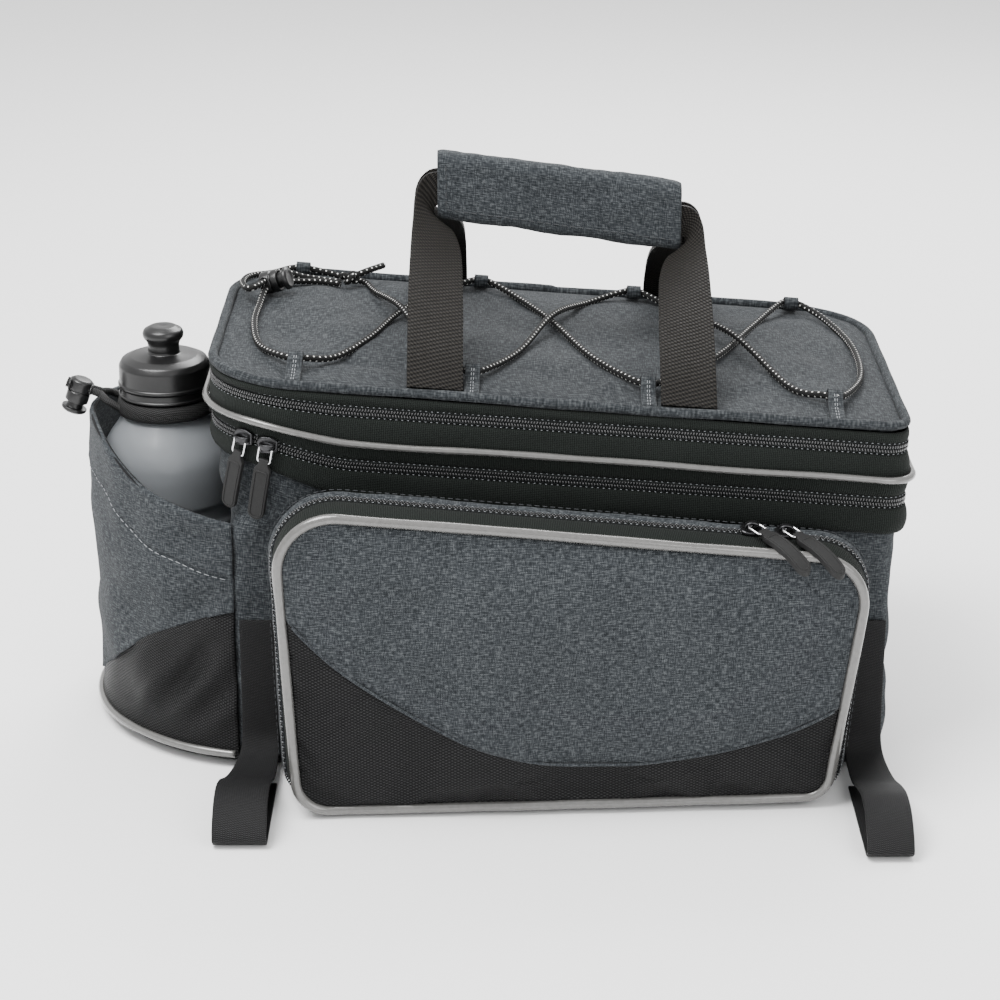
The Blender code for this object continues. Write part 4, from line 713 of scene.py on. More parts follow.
def simulate(thing, pinned, pressure):
    """Puff a pinned sheet with Blender's cloth and write the result to the mesh."""
    mesh = thing.data
    before = np.zeros(len(mesh.vertices) * 3)
    mesh.vertices.foreach_get("co", before)
    group = thing.vertex_groups.new(name="pinned")
    group.add([int(i) for i in pinned], 1.0, "REPLACE")
    cloth = thing.modifiers.new("Cloth", "CLOTH")
    settings = cloth.settings
    settings.quality = 6
    settings.mass = 0.12
    settings.tension_stiffness = CLOTH_TENSION
    settings.compression_stiffness = CLOTH_TENSION
    settings.shear_stiffness = CLOTH_TENSION / 2
    settings.bending_stiffness = 0.25
    settings.vertex_group_mass = "pinned"
    settings.use_pressure = True
    settings.uniform_pressure_force = pressure
    settings.shrink_min = CLOTH_SHRINK
    settings.effector_weights.gravity = 0
    cloth.collision_settings.use_collision = False
    cloth.point_cache.frame_start = 1
    cloth.point_cache.frame_end = CLOTH_FRAMES
    for number in range(1, CLOTH_FRAMES + 1):
        bpy.context.scene.frame_set(number)
    graph = bpy.context.evaluated_depsgraph_get()
    after = np.zeros(len(mesh.vertices) * 3)
    thing.evaluated_get(graph).data.vertices.foreach_get("co", after)
    thing.modifiers.remove(cloth)
    thing.vertex_groups.clear()
    bpy.context.scene.frame_set(1)
    moved = (after - before).reshape(-1, 3)
    size = np.linalg.norm(moved, axis=1, keepdims=True)
    moved *= CLOTH_REACH * np.tanh(size / CLOTH_REACH) / np.maximum(size, 1e-9)
    mesh.vertices.foreach_set("co", (before.reshape(-1, 3) + moved).ravel())
    mesh.update()


# Lid and bands

def rim(x):
    """Height of the lid's rim."""
    return LID_HEIGHT + LID_SLOPE * x


def pinch(x):
    """How far the bands draw together towards the left end."""
    share = np.clip((PINCH_START - x) / PINCH_LENGTH, 0, 1)
    return 1.0 - PINCH_SHARE * share * share * (3 - 2 * share)


def plan_corners(left, right, depth, radii, outset):
    """Corners (x, y, radius) of a rounded plan, moved outwards."""
    left, right, depth = left - outset, right + outset, depth + outset
    spots = ((left, -depth), (right, -depth), (right, depth), (left, depth))
    return tuple((x, y, radius + outset) for (x, y), radius in zip(spots, radii))


def lid_corners(outset):
    """Corners of the plan of the lid and bands."""
    return plan_corners(LID_LEFT, LID_RIGHT, LID_HALF_DEPTH, LID_RADII, outset)


def band_line(drop, outset, count=420):
    """One ring round the bands as points."""
    plan = ring(lid_corners(outset), count, (0.0, LID_HALF_DEPTH))
    return np.column_stack([plan, rim(plan[:, 0]) - drop * pinch(plan[:, 0])])


def lid_top(x, y):
    """Height of the lid's slightly domed upper side."""
    middle = (LID_LEFT + LID_RIGHT) / 2
    along = np.minimum(1.0, np.abs(x - middle) / (LID_RIGHT - middle))
    across = np.minimum(1.0, np.abs(y) / LID_HALF_DEPTH)
    return rim(x) + LID_DOME * (1 - along ** 4) * (1 - across ** 2)


def make_band(name, high, low, swell, seed, rows=12):
    """A woven band whose edges tuck in at its zips."""
    lines = []
    for step in range(rows + 1):
        share = step / rows
        belly = math.sin(math.pi * share) ** 0.5
        lines.append(band_line(high + (low - high) * share, swell * belly - 0.0007 * (1 - belly)))
    points = np.array(lines)[::-1]
    run = lengths(points[0])
    wave_along = ripples(run[None, :], np.linspace(0, 0.02, rows + 1)[:, None], seed, 0.045)
    fade = np.sin(math.pi * np.linspace(0, 1, rows + 1))[:, None] * np.minimum(1, (run[-1] - run) / 0.02)[None, :] \
        * np.minimum(1, run / 0.02)[None, :]
    points = points + normals_of(points) * (wave_along * fade * 0.0005)[..., None]
    thing = thicken(weld(sheet(name, points)), 0.0024)
    return keep(thing, "ribbed", name)


def make_coil(name, path, normal):
    """Two rows of coil teeth and their sewing lines along a zip."""
    path = np.array(path)
    run = lengths(path)
    count = int(run[-1] / TOOTH_PITCH)
    middle = (np.arange(count) + 0.5) * run[-1] / count
    spot = read_at(middle, run, path)
    ahead = unit(np.gradient(spot, axis=0))
    out = read_at(middle, run, normal)
    out = unit(out - ahead * (out * ahead).sum(1, keepdims=True))
    up = np.cross(out, ahead)
    places = []
    for side in (1, -1):
        centre = spot + up * side * TOOTH_OFFSET + ahead * (0.25 * side * TOOTH_PITCH)
        way = unit(up + ahead * TOOTH_LEAN * side)
        places += list(zip(centre, way, np.cross(out, way), out))
    template, faces = capsule(TOOTH_LENGTH, TOOTH_RADIUS, 6, 0.9, True)
    keep(many(f"{name}_teeth", places, template, faces), "coil")
    places = []
    for side in (1, -1):
        places += list(zip(spot + up * side * SEWING_OFFSET - out * SEWING_SINK, ahead, up, out))[::2]
    template, faces = capsule(SEWING_LENGTH, SEWING_RADIUS, 4, 1.0, True)
    keep(many(f"{name}_sewing", places, template, faces), "thread", slot="zip_coil")


def make_bands():
    """The bands, the two zips between them and the silver piping."""
    make_band("lid_band", LID_PIPE * 1.2, UPPER_ZIP - 0.0030, 0.0006, 3, 8)
    make_band("middle_band", UPPER_ZIP + 0.0030, LOWER_ZIP - 0.0030, 0.0011, 5, 14)
    make_band("lower_band", LOWER_ZIP + 0.0030, BAND_BOTTOM, 0.0008, 7, 10)
    for name, drop in (("upper_zip_chain", UPPER_ZIP), ("lower_zip_chain", LOWER_ZIP)):
        rows = [band_line(drop + 0.0034, -0.0014), band_line(drop + 0.0020, -0.0010), band_line(drop, -0.0008),
                band_line(drop - 0.0020, -0.0010), band_line(drop - 0.0034, -0.0014)]
        tape = thicken(weld(sheet(name, np.array(rows))), 0.0012)
        keep(tape, "tape", name)
        path = band_line(drop, -0.0002, 1200)
        outer = band_line(drop, 0.0098, 1200)
        normal = unit(outer - path)
        if name == "upper_zip_chain":
            hidden = (path[:, 1] > 0.1) & (np.abs(path[:, 0]) < 0.127)
            first = int(np.argmax(~hidden))
            last = len(hidden) - int(np.argmax(~hidden[::-1]))
            path, normal = path[first:last], normal[first:last]
        make_coil(name, path, normal)
    rows = []
    for drop, outset in ((UPPER_ZIP + 0.0030, -0.0004), (UPPER_ZIP, 0.0006), (UPPER_ZIP - 0.0030, -0.0004)):
        line = band_line(drop, outset)
        line = line[(line[:, 1] > 0.1)]
        line = line[np.argsort(-line[:, 0])]
        rows.append(even_line(line[np.abs(line[:, 0]) < 0.1275], 60))
    keep(thicken(sheet("lid_hinge_strip", np.array(rows)), 0.0022), "ribbed", "lid_hinge_strip")
    path = band_line(BAND_PIPE, 0.0029, 420)[:-1]
    path[:, 2] += 0.0005 * ripples(lengths(path), 0 * path[:, 0], 11, 0.09)
    keep(tube("band_piping", path, 0.0018, 12, True, 0.05, 4), "silver", "band_piping")


def make_lid():
    """The heather top with its raised, sewn edge."""
    path = band_line(0.0, -LID_PIPE + 0.0008, 420)[:-1]
    run = lengths(path)
    path[:, 2] += 0.0004 * ripples(run, 0 * run, 21, 0.07)
    edge = tube("lid_edge_piping", path, 0.0025, 12, True, 0.06, 9)
    keep(edge, "heather_lid", "lid_edge_piping")
    outline = ring(lid_corners(0.0008 - 2 * LID_PIPE - CLEAR + 0.0012), 440, (0.0, LID_HALF_DEPTH))[:-1]
    grid = coons(outline, ((LID_LEFT, -LID_HALF_DEPTH), (LID_RIGHT, -LID_HALF_DEPTH), (LID_RIGHT, LID_HALF_DEPTH),
                           (LID_LEFT, LID_HALF_DEPTH)), 150, 90)
    x, y = grid[..., 0], grid[..., 1]
    gap = np.minimum(np.minimum(x - LID_LEFT, LID_RIGHT - x), LID_HALF_DEPTH - np.abs(y)) - 0.004
    inside = np.clip(gap / 0.03, 0, 1)
    height = lid_top(x, y) - 0.0010 * np.exp(-(gap / 0.004) ** 2)
    height += 0.0012 * inside * ripples(x, y, 31, 0.060) + 0.0005 * inside * ripples(x, y, 32, 0.024)
    height += creases(x, y, LID_CREASES)
    panel = sheet("lid_panel", np.stack([x, y, height], -1))
    thicken(panel, 0.0022)
    keep(panel, "heather_lid", "lid_panel")


def coons(outline, corners, columns, rows):
    """A grid that fills a closed outline; corners are the places nearest its four corners."""
    marks = [int(np.argmin(((outline - np.array(corner)) ** 2).sum(1))) for corner in corners]
    turned = np.roll(outline, -marks[0], axis=0)
    turned = np.vstack([turned, turned[:1]])
    marks = [(mark - marks[0]) % len(outline) for mark in marks] + [len(outline)]
    bottom, right, top, left = (turned[first:last + 1] for first, last in zip(marks, marks[1:]))
    bottom, top = even_line(bottom, columns), even_line(top[::-1], columns)
    right, left = even_line(right, rows), even_line(left[::-1], rows)
    u = np.linspace(0, 1, columns + 1)[None, :, None]
    v = np.linspace(0, 1, rows + 1)[:, None, None]
    flat = (1 - v) * ((1 - u) * bottom[0] + u * bottom[-1]) + v * ((1 - u) * top[0] + u * top[-1])
    return (1 - v) * bottom[None] + v * top[None] + (1 - u) * left[:, None] + u * right[:, None] - flat


# Body

def body_corners(outset):
    """Corners of the plan of the body."""
    return plan_corners(BODY_LEFT, BODY_RIGHT, BODY_HALF_DEPTH, BODY_RADII, outset)


def make_body():
    """The padded wall, the base and its bound edge."""
    shares = np.array((0.0, 0.015, 0.04, 0.30, 0.58, 0.74, 0.86, 1.0))
    blends = np.array((0.0, 0.0, 0.0, 0.0, 0.0, 0.15, 1.0, 1.0))
    outsets = np.array((-0.0030, -0.0010, 0.0, 0.0008, 0.0008, 0.0010, -0.0004, -0.0012))
    count, rows = 400, 60
    lines = []
    for step in range(rows + 1):
        share = step / rows
        blend = np.interp(share, shares, blends)
        blend = blend * blend * (3 - 2 * blend)
        outset = np.interp(share, shares, outsets)
        own = ring(body_corners(outset), count, (0.0, BODY_HALF_DEPTH))
        band = ring(lid_corners(outset - 0.0031), count, (0.0, LID_HALF_DEPTH))
        plan = own * (1 - blend) + band * blend
        top = rim(plan[:, 0]) - (BAND_BOTTOM - 0.011) * pinch(plan[:, 0])
        lines.append(np.column_stack([plan, 0.0035 + (top - 0.0035) * share]))
    points = np.array(lines)
    u = lengths(points[rows // 2])[None, :]
    v = points[..., 2]
    ends = np.minimum(1, np.minimum(u, u[:, -1:] - u) / 0.02)
    fade = np.clip(v / 0.02, 0, 1) * np.clip((0.175 - v) / 0.03, 0, 1) * ends
    height = 0.0012 * ripples(u, v, 41, 0.06) + 0.0006 * ripples(u, v, 42, 0.022)
    x, y = points[..., 0], points[..., 1]
    front = (y < -0.05).astype(float)
    left = (x < -0.1).astype(float) * front
    right = (x > 0.1).astype(float)
    height += front * left * creases(x, v, FRONT_LEFT_CREASES)
    height += right * creases(y, v, RIGHT_CREASES)
    height += front * right * creases(x, v, FRONT_RIGHT_CREASES)
    height += (y > 0.09) * creases(x, v, BACK_CREASES)
    points = points + normals_of(points) * (height * fade)[..., None]
    keep(thicken(weld(sheet("body_shell", points)), 0.0022), "heather", "body_shell")
    plan = ring(body_corners(-0.0022), 300, (0.0, BODY_HALF_DEPTH))[:-1]
    rows = []
    for share, z in ((0.0, 0.0028), (0.0, 0.0016), (0.004, 0.0004), (0.012, 0.0), (0.2, 0.0), (0.999, 0.0)):
        line = plan * (1 - share)
        line = np.vstack([line, line[:1]])
        rows.append(np.column_stack([line, np.full(len(line), z)]))
    rows = [np.column_stack([rows[0][:, :2] * 0.2, rows[0][:, 2]])] + rows
    points = np.array(rows)
    uv = points[..., :2].reshape(-1, 2)
    keep(weld(sheet("base_panel", points, flip=True, uv=uv), 0.0004), "ballistic", "base_panel")
    path = ring(body_corners(-0.0006), 300, (0.0, BODY_HALF_DEPTH))[:-1]
    path = np.column_stack([path, np.full(len(path), 0.0031)])
    keep(tube("base_binding", path, 0.0015, 8, True, 0.06, 6), "lining")


# Front pocket

def pocket_corners(share):
    """Corners (x, z, radius) of the pocket's outline at a share of its depth."""
    low, high, part = (POCKET_BACK, POCKET_MIDDLE, share / POCKET_MIDDLE_SHARE) if share <= POCKET_MIDDLE_SHARE \
        else (POCKET_MIDDLE, POCKET_FRONT, (share - POCKET_MIDDLE_SHARE) / (1 - POCKET_MIDDLE_SHARE))
    return tuple(tuple(a + (b - a) * part for a, b in zip(first, second)) for first, second in zip(low, high))


def pocket_front(x):
    """Depth of the pocket's front edge at x."""
    return POCKET_FRONT_Y + POCKET_TURN * x


def pocket_line(share, inset=0.0, count=400):
    """One ring round the pocket's side, starting at the middle of its floor."""
    plan = ring(pocket_corners(share), count, (0.0, 0.002))
    way = np.gradient(plan, axis=0)
    way[0] = way[-1] = plan[1] - plan[-2]
    way = unit(way)
    plan = plan + np.column_stack([-way[:, 1], way[:, 0]]) * inset
    depth = POCKET_BACK_Y + (pocket_front(plan[:, 0]) - POCKET_BACK_Y) * share
    return np.column_stack([plan[:, 0], depth, plan[:, 1]])


def make_pocket():
    """The padded pocket: gusset, zip, piping and its two front panels."""
    depth = POCKET_BACK_Y - POCKET_FRONT_Y
    half = POCKET_ZIP_WIDTH / 2 / depth
    back, front = POCKET_ZIP_SHARE - half, POCKET_ZIP_SHARE + half
    shares = list(np.linspace(0.055, back - 0.03, 16)) + [back - 0.018, back - 0.008, back]
    points = np.array([pocket_line(share) for share in shares])
    u = lengths(points[len(shares) // 2])[None, :]
    v = np.array(shares)[:, None] * depth
    ends = np.minimum(1, np.minimum(u, u[:, -1:] - u) / 0.02)
    x, z = points[..., 0], points[..., 2]
    fade = np.sin(math.pi * np.clip((np.array(shares) - shares[0]) / (back - shares[0]), 0, 1))[:, None] * ends
    height = -0.0009 * np.ones_like(x) + 0.0010 * ripples(u, v, 51, 0.05) + 0.0004 * ripples(u, v, 52, 0.02)
    height = height * fade
    roll = np.exp(-((np.array(shares) - back) * depth / 0.0016) ** 2)[:, None] * 0.0007
    points = points - normals_of(points) * (height + roll)[..., None]
    points[..., 2] = np.maximum(points[..., 2], FLOOR_GAP)
    gusset = thicken(weld(sheet("pocket_gusset", points)), 0.0016)
    keep(gusset, "heather", "pocket_gusset")
    visible = pocket_line(back - 0.075, -0.0013)
    visible = visible[visible[:, 2] > 0.02]
    stitches("pocket_hood_stitches", visible[::3], outward_of(visible[::3]), "thread_dark", 0.0026, 0.0013,
             0.00022)
    rows = [pocket_line(back - 0.006, 0.0014), pocket_line((back + front) / 2, 0.0008),
            pocket_line(front + 0.006, 0.0014)]
    tape = thicken(weld(sheet("pocket_zip_tape", np.array(rows))), 0.0010)
    keep(tape, "tape", "pocket_zip_chain", "pocket_hinge_strip")
    path = pocket_line(POCKET_ZIP_SHARE, -0.0005, 1100)
    path = path[~((path[:, 2] < 0.012) & (np.abs(path[:, 0]) < 0.128))]
    path = path[int(np.argmax(path[:, 0] > 0.12)):]
    make_coil("pocket_zip", path, outward_of(path))
    rows = [pocket_line(share, inset) for share, inset in
            ((front - 0.004, 0.0010), (front + 0.004, 0.0001), (front + 0.05, -0.0004), (0.92, -0.0002),
             (0.955, 0.0009), (0.975, 0.0022))]
    points = np.array(rows)
    keep(thicken(weld(sheet("pocket_front_tape", points)), 0.0014), "ribbed", "pocket_front_tape")
    path = pocket_line(1.0, 0.0, 400)[:-1]
    run = lengths(path)
    path[:, 1] += 0.0005 * ripples(run, 0 * run, 61, 0.08)
    keep(tube("pocket_piping", path, POCKET_PIPE, 14, True, 0.05, 12), "silver", "pocket_piping")
    outline = ring(pocket_corners(1.0), 420, (0.0, 0.002))[:-1]
    way = unit(np.roll(outline, -1, 0) - np.roll(outline, 1, 0))
    outline = outline + np.column_stack([-way[:, 1], way[:, 0]]) * 0.0021
    columns, rows_count = 150, 96
    grid = coons(outline, [corner[:2] for corner in pocket_corners(1.0)], columns, rows_count)
    line = eased(grid[..., 0], SEAM[:, 0], SEAM[:, 1], 0.07)
    share_at = []
    for column in range(columns + 1):
        over = grid[:, column, 1] - line[:, column]
        first = int(np.argmax(over > 0))
        part = over[first - 1] / (over[first - 1] - over[first])
        share_at.append((first - 1 + part) / rows_count)
    share_at = np.array(share_at)
    ups = np.linspace(0, 1, rows_count + 1)

    def part(start, end, rows):
        """The panel between two shares of each column's height."""
        want = start[None, :] + (end - start)[None, :] * np.linspace(0, 1, rows + 1)[:, None]
        x = np.stack([np.interp(want[:, c], ups, grid[:, c, 0]) for c in range(columns + 1)], 1)
        z = np.stack([np.interp(want[:, c], ups, grid[:, c, 1]) for c in range(columns + 1)], 1)
        along = np.linspace(0, 1, columns + 1)[None, :]
        crown = np.clip(np.sin(math.pi * along) * np.sin(math.pi * want), 0, 1) ** 0.45
        y = pocket_front(x) - POCKET_CROWN * 0.86 * crown
        return np.stack([x, y, z], -1), along, want

    for name, start, end, rows, finish, pressure in (
            ("pocket_panel_upper", share_at, np.ones(columns + 1), 60, "heather", UPPER_PRESSURE),
            ("pocket_panel_lower", np.zeros(columns + 1), share_at, 40, "ballistic", LOWER_PRESSURE)):
        points, along, want = part(start, end, rows)
        x, z = points[..., 0], points[..., 2]
        inner = np.clip(np.sin(math.pi * along) * np.sin(math.pi * want) * 3, 0, 1)
        height = 0.0009 * ripples(x, z, 71, 0.07)
        height += creases(x, z, POCKET_CREASES)
        points[..., 1] -= height * inner
        piece = sheet(name, points, uv=points[..., ::2].reshape(-1, 2))
        border = grid_border(*points.shape[:2])
        simulate(piece, border, pressure)
        thicken(piece, 0.0014)
        keep(piece, finish, name)
    points, along, want = part(np.minimum(1, share_at + 0.004), np.ones(columns + 1), 2)
    edge = points[0] + np.array((0, -0.0007, 0))
    keep(tube("pocket_seam_fold", edge[2:-2], 0.0008, 8, False, 0.1, 5), "heather")


def outward_of(path):
    """Directions out of the pocket's side in the x, z plane."""
    way = np.gradient(path, axis=0)
    return unit(np.column_stack([way[:, 2], 0 * way[:, 0], -way[:, 0]]))


def grid_border(rows, columns):
    """Indices of a grid's edge points."""
    index = np.arange(rows * columns).reshape(rows, columns)
    return np.unique(np.concatenate([index[0], index[-1], index[:, 0], index[:, -1]]))


# Bottle and its pocket

def holder_angles(count):
    """Angles round the bottle pocket from its front end to its back end."""
    reach = math.acos((BODY_LEFT + 0.0005 - HOLDER_X) / HOLDER_RADIUS)
    return -reach - (2 * math.pi - 2 * reach) * np.linspace(0, 1, count + 1)


def holder_line(column, inset=0.0, height=None, count=160):
    """One line round the bottle pocket at a height or at one from its table."""
    angle = holder_angles(count)
    share = np.abs(np.sin(angle))
    z = np.full(len(angle), height) if height is not None \
        else HOLDER_MOUTH * eased(share, HOLDER_ROWS[:, 0], HOLDER_ROWS[:, column], 0.09)
    radius = HOLDER_RADIUS - inset
    return np.column_stack([HOLDER_X + radius * np.cos(angle), radius * np.sin(angle), z])


def from_holder(points):
    """Level directions away from the bottle pocket's axis."""
    outward = points - np.array((HOLDER_X, 0, 0))
    outward[..., 2] = 0
    return unit(outward)


def make_holder():
    """The bottle pocket: wall with its folded hem, black foot, lining edge and piping."""
    seam, mouth = holder_line(2), holder_line(1)
    rows = 56
    share = np.linspace(0, 1, rows + 1)
    points = seam[None] + (mouth - seam)[None] * share[:, None, None]
    u = lengths(points[rows // 2])[None, :]
    v = points[..., 2]
    outward = from_holder(points)
    half = u[0, -1] / 2
    off = half - np.abs(u - half)
    fade = np.clip(off / 0.02, 0, 1)
    height = 0.0014 * ripples(u, v, 81, 0.06) * fade + 0.0005 * ripples(u, v, 82, 0.025) * fade
    height += creases(off, v, HOLDER_CREASES)
    down = (mouth[:, 2] - points[..., 2])
    below = down - HEM_DEPTH
    height += 0.0008 * np.exp(-(below / 0.0016) ** 2) - 0.0009 * np.exp(-((below - 0.0022) / 0.0012) ** 2)
    height += -0.0012 * (1 - np.clip(down / 0.003, 0, 1))
    points = points + outward * height[..., None]
    uv = uv_grid(u, points[..., 2])
    wall = thicken(sheet("bottle_pocket", points, flip=True, uv=uv), 0.0017)
    keep(wall, "heather", "bottle_pocket")
    line = np.array([[np.interp(-HEM_DEPTH - 0.0035, -down[:, c], points[:, c, k]) for k in range(3)]
                     for c in range(points.shape[1])])
    stitches("bottle_pocket_hem_stitches", line[2:-2], outward[rows // 2, 2:-2])
    heights = (0.0012, 0.0020, 0.0042, HOLDER_PIPE_HEIGHT)
    insets = (0.0075, 0.0030, 0.0008, 0.0)
    lines = [holder_line(0, inset, height) for inset, height in zip(insets, heights)]
    steps = 30
    lines += [lines[-1] + (seam + np.array((0, 0, 0.0006)) - lines[-1]) * k / steps for k in range(1, steps + 1)]
    points = np.array(lines)
    u = lengths(points[-1])[None, :]
    off = u[0, -1] / 2 - np.abs(u - u[0, -1] / 2)
    v = points[..., 2]
    outward = from_holder(points)
    top = seam[:, 2][None, :]
    fade = np.clip((v - 0.008) / 0.02, 0, 1) * np.clip((top - v) / 0.008, 0, 1)
    height = 0.0012 * ripples(u, v, 91, 0.045) + creases(off, v, FOOT_CREASES)
    points = points + outward * ((height * fade) - 0.0006 + 0.0012 * np.clip((0.022 - v) / 0.012, 0, 1))[..., None]
    points = np.concatenate([points[:1], points])
    points[0] = np.column_stack([np.full(points.shape[1], BODY_LEFT - 0.004), points[1][:, 1] * 0.9,
                                 np.full(points.shape[1], 0.0012)])
    uv = uv_grid(u, points[..., 2])
    foot = thicken(sheet("bottle_pocket_base", points, flip=True, uv=uv), 0.0010)
    keep(foot, "ballistic", "bottle_pocket_base")
    path = holder_line(1, 0.0020)[2:-2] - np.array((0, 0, 0.0016))
    keep(tube("pocket_binding", path, 0.0013, 8, False, 0.1, 7), "lining", "pocket_binding")
    path = holder_line(0, -0.0014, HOLDER_PIPE_HEIGHT)[1:-1]
    path[:, 2] += 0.0004 * ripples(lengths(path), 0 * path[:, 0], 95, 0.07)
    keep(tube("bottle_pocket_piping", path, 0.0021, 12, False, 0.05, 3), "silver", "bottle_pocket_piping")


def make_bottle():
    """Squeeze bottle, its screw cap with a ribbed skirt and its nozzle."""
    place = Matrix.Translation((BOTTLE_X, 0, 0))
    r, foot, neck = BOTTLE_RADIUS, BOTTLE_FOOT, NECK_RADIUS
    outer = [(neck, NECK_TOP), (neck, 0.1630), (neck + 0.0022, 0.1618), (0.0262, 0.1580), (0.0305, 0.1520),
             (0.0340, 0.1460), (0.0358, 0.1405), (r, 0.1330), (r, 0.1180), (r - 0.0014, 0.1155), (r - 0.0014, 0.1090),
             (r, 0.1065), (r, 0.0700), (r, foot + 0.012), (r - 0.0016, foot + 0.005), (r - 0.0060, foot + 0.0006),
             (r - 0.0100, foot), (0.0, foot + 0.0010)]
    inner = [(0.0, foot + 0.0026)] + [(max(0.0, x - 0.0013), max(z, foot + 0.0022)) for x, z in outer[-3:0:-1]]
    inner += [(neck - 0.0013, NECK_TOP)]
    profile = rounded(inner, 0.002) + rounded(outer, 0.0025)
    body = lathe("bottle_body", profile, 72, place)
    keep(body, "bottle", "bottle_body")
    cap = [(0.0, 0.2045), (0.0050, 0.2045), (0.0050, 0.1990), (0.0082, 0.1982), (0.0086, 0.1962), (0.0180, 0.1950),
           (0.0226, 0.1930), (0.0242, 0.1902), (0.0243, 0.1812), (0.0250, 0.1806), (0.0250, 0.1792), (0.0243, 0.1786),
           (0.0243, 0.1752), (0.0249, 0.1748), (0.0249, 0.1736), (0.0222, 0.1735), (0.0222, 0.1750)]
    cap = rounded(cap, 0.0007) + [(0.0222, 0.1866), (0.0, 0.1866)]
    keep(lathe("bottle_cap", cap, 96, place), "black", "bottle_cap")
    nozzle = [(0.0, 0.2106), (0.0030, 0.2110), (0.0066, 0.2110), (0.0102, 0.2090), (0.0110, 0.2068), (0.0106, 0.2048),
              (0.0090, 0.2030), (0.0084, 0.2012), (0.0084, 0.1972), (0.0054, 0.1970), (0.0054, 0.2050)]
    keep(lathe("bottle_nozzle", rounded(nozzle, 0.0008) + [(0.0, 0.2050)], 64, place), "black", "bottle_nozzle",
         body="nozzle")


# Handles

def leg_points(end, side, sign, fine=64):
    """Outer and inner edge of one leg of a handle, finely read."""
    foot_y = sign * FOOT_DEPTH
    grip_z = GRIP_CENTRE + GRIP_SLOPE * end
    inside = sign * (GRIP_THICK / 2 - 0.0016 - CLEAR - WEBBING_THICK / 2)
    rows = []
    for outer, outer_rise, inner, inner_rise, depth in LEG_ROWS:
        y = inside + (foot_y - inside) * depth
        row = []
        for share, rise, foot_share in ((outer, outer_rise, 0.5), (inner, inner_rise, -0.5)):
            foot_z = lid_top(end + side * foot_share * WEBBING_WIDTH, foot_y) + WEBBING_THICK / 2 + CLEAR
            row += [end + side * share * WEBBING_WIDTH, y, foot_z + (grip_z - foot_z) * rise]
        rows.append(row)
    outer_path = smooth_path([row[:3] for row in rows], 0.0022)
    inner_path = smooth_path([row[3:] for row in rows], 0.0022)
    return even_line(outer_path, fine), \
        even_line(inner_path, fine)


def make_handles():
    """Two webbing straps through a wrapped, stitched grip."""
    half = GRIP_LENGTH / 2
    across = 12
    for name, sign in (("handle_strap_front", -1), ("handle_strap_back", 1)):
        outer_left, inner_left = leg_points(-half, -1, sign)
        outer_right, inner_right = leg_points(half, 1, sign)
        outer = np.vstack([outer_left, outer_right[::-1]])
        inner = np.vstack([inner_left, inner_right[::-1]])
        share = np.linspace(0, 1, across + 1)
        points = outer[:, None, :] * (1 - share)[None, :, None] + inner[:, None, :] * share[None, :, None]
        run = lengths((outer + inner) / 2)
        bow = np.sin(math.pi * share)[None, :] * 0.0012 * ripples(run, 0 * run, 101 + sign, 0.06)[:, None]
        fade = np.clip(np.minimum(run, run[-1] - run) / 0.02, 0, 1)[:, None]
        inside = np.clip((np.abs(points[..., 0]) - half + 0.002) / 0.01, 0, 1)
        points = points + normals_of(points) * (bow * fade * inside)[..., None]
        uv = uv_grid((share * WEBBING_WIDTH)[None, :], run[:, None])
        strap = thicken(sheet(name, points, uv=uv), WEBBING_THICK, 0.0)
        soften(strap, 0.0005)
        keep(strap, "webbing", name)
    section = filleted(((-GRIP_THICK / 2, -GRIP_HEIGHT / 2, 0.0055), (GRIP_THICK / 2, -GRIP_HEIGHT / 2, 0.0055),
                        (GRIP_THICK / 2, GRIP_HEIGHT / 2, 0.0055), (-GRIP_THICK / 2, GRIP_HEIGHT / 2, 0.0055)), 8)
    section = even_line(np.vstack([section, section[:1]]), 96)
    xs = np.linspace(-half, half, 80)
    run = lengths(section)
    lines = []
    for x in xs:
        end = math.exp(-((half - abs(x)) / 0.0015) ** 2)
        scale = 1 + 0.015 * math.sin(math.pi * (x + half) / GRIP_LENGTH) - 0.05 * end
        line = section * scale
        lines.append(np.column_stack([np.full(len(line), x), line[:, 0], GRIP_CENTRE + GRIP_SLOPE * x + line[:, 1]]))
    points = np.array(lines)
    u, v = xs[:, None], run[None, :]
    fade = np.clip((half - np.abs(u)) / 0.01, 0, 1) * np.minimum(1, np.minimum(v, run[-1] - v) / 0.01)
    height = (0.0005 * ripples(u, v, 111, 0.03) + 0.0002 * ripples(u, v, 112, 0.012)) * fade
    near_seam = np.exp(-((section[None, :, 1] + GRIP_SEAM_DROP) / 0.003) ** 2)
    height += 0.00018 * np.cos(2 * math.pi * u / 0.0042) * near_seam * fade
    points = points - normals_of(points) * height[..., None]
    uv = uv_grid(u, v)
    grip = thicken(weld(sheet("handle_grip", points, uv=uv)), 0.0014)
    keep(grip, "heather", "handle_grip")
    xs = np.linspace(-half + 0.004, half - 0.003, 60)
    line = np.column_stack([xs, np.full(60, -GRIP_THICK / 2 - 0.0003), GRIP_CENTRE + GRIP_SLOPE * xs - GRIP_SEAM_DROP])
    stitches("grip_stitches_low", line, (0, -1, 0), "thread_dark")
    zs = np.linspace(-0.011, 0.0125, 20)
    line = np.column_stack([np.full(20, -half + 0.0045), np.full(20, -GRIP_THICK / 2 - 0.0003),
                            GRIP_CENTRE + GRIP_SLOPE * (-half + 0.0045) + zs])
    stitches("grip_stitches_end", line, (0, -1, 0), "thread_dark")


# Cord

def tab_eye(x, front):
    """Middle of the eye in a cord tab."""
    y = LID_HALF_DEPTH - 2 * LID_PIPE - (TAB_FRONT_LENGTH if front else TAB_BACK_LENGTH)
    return Vector((x, -y if front else y, rim(x) + TAB_RISE))


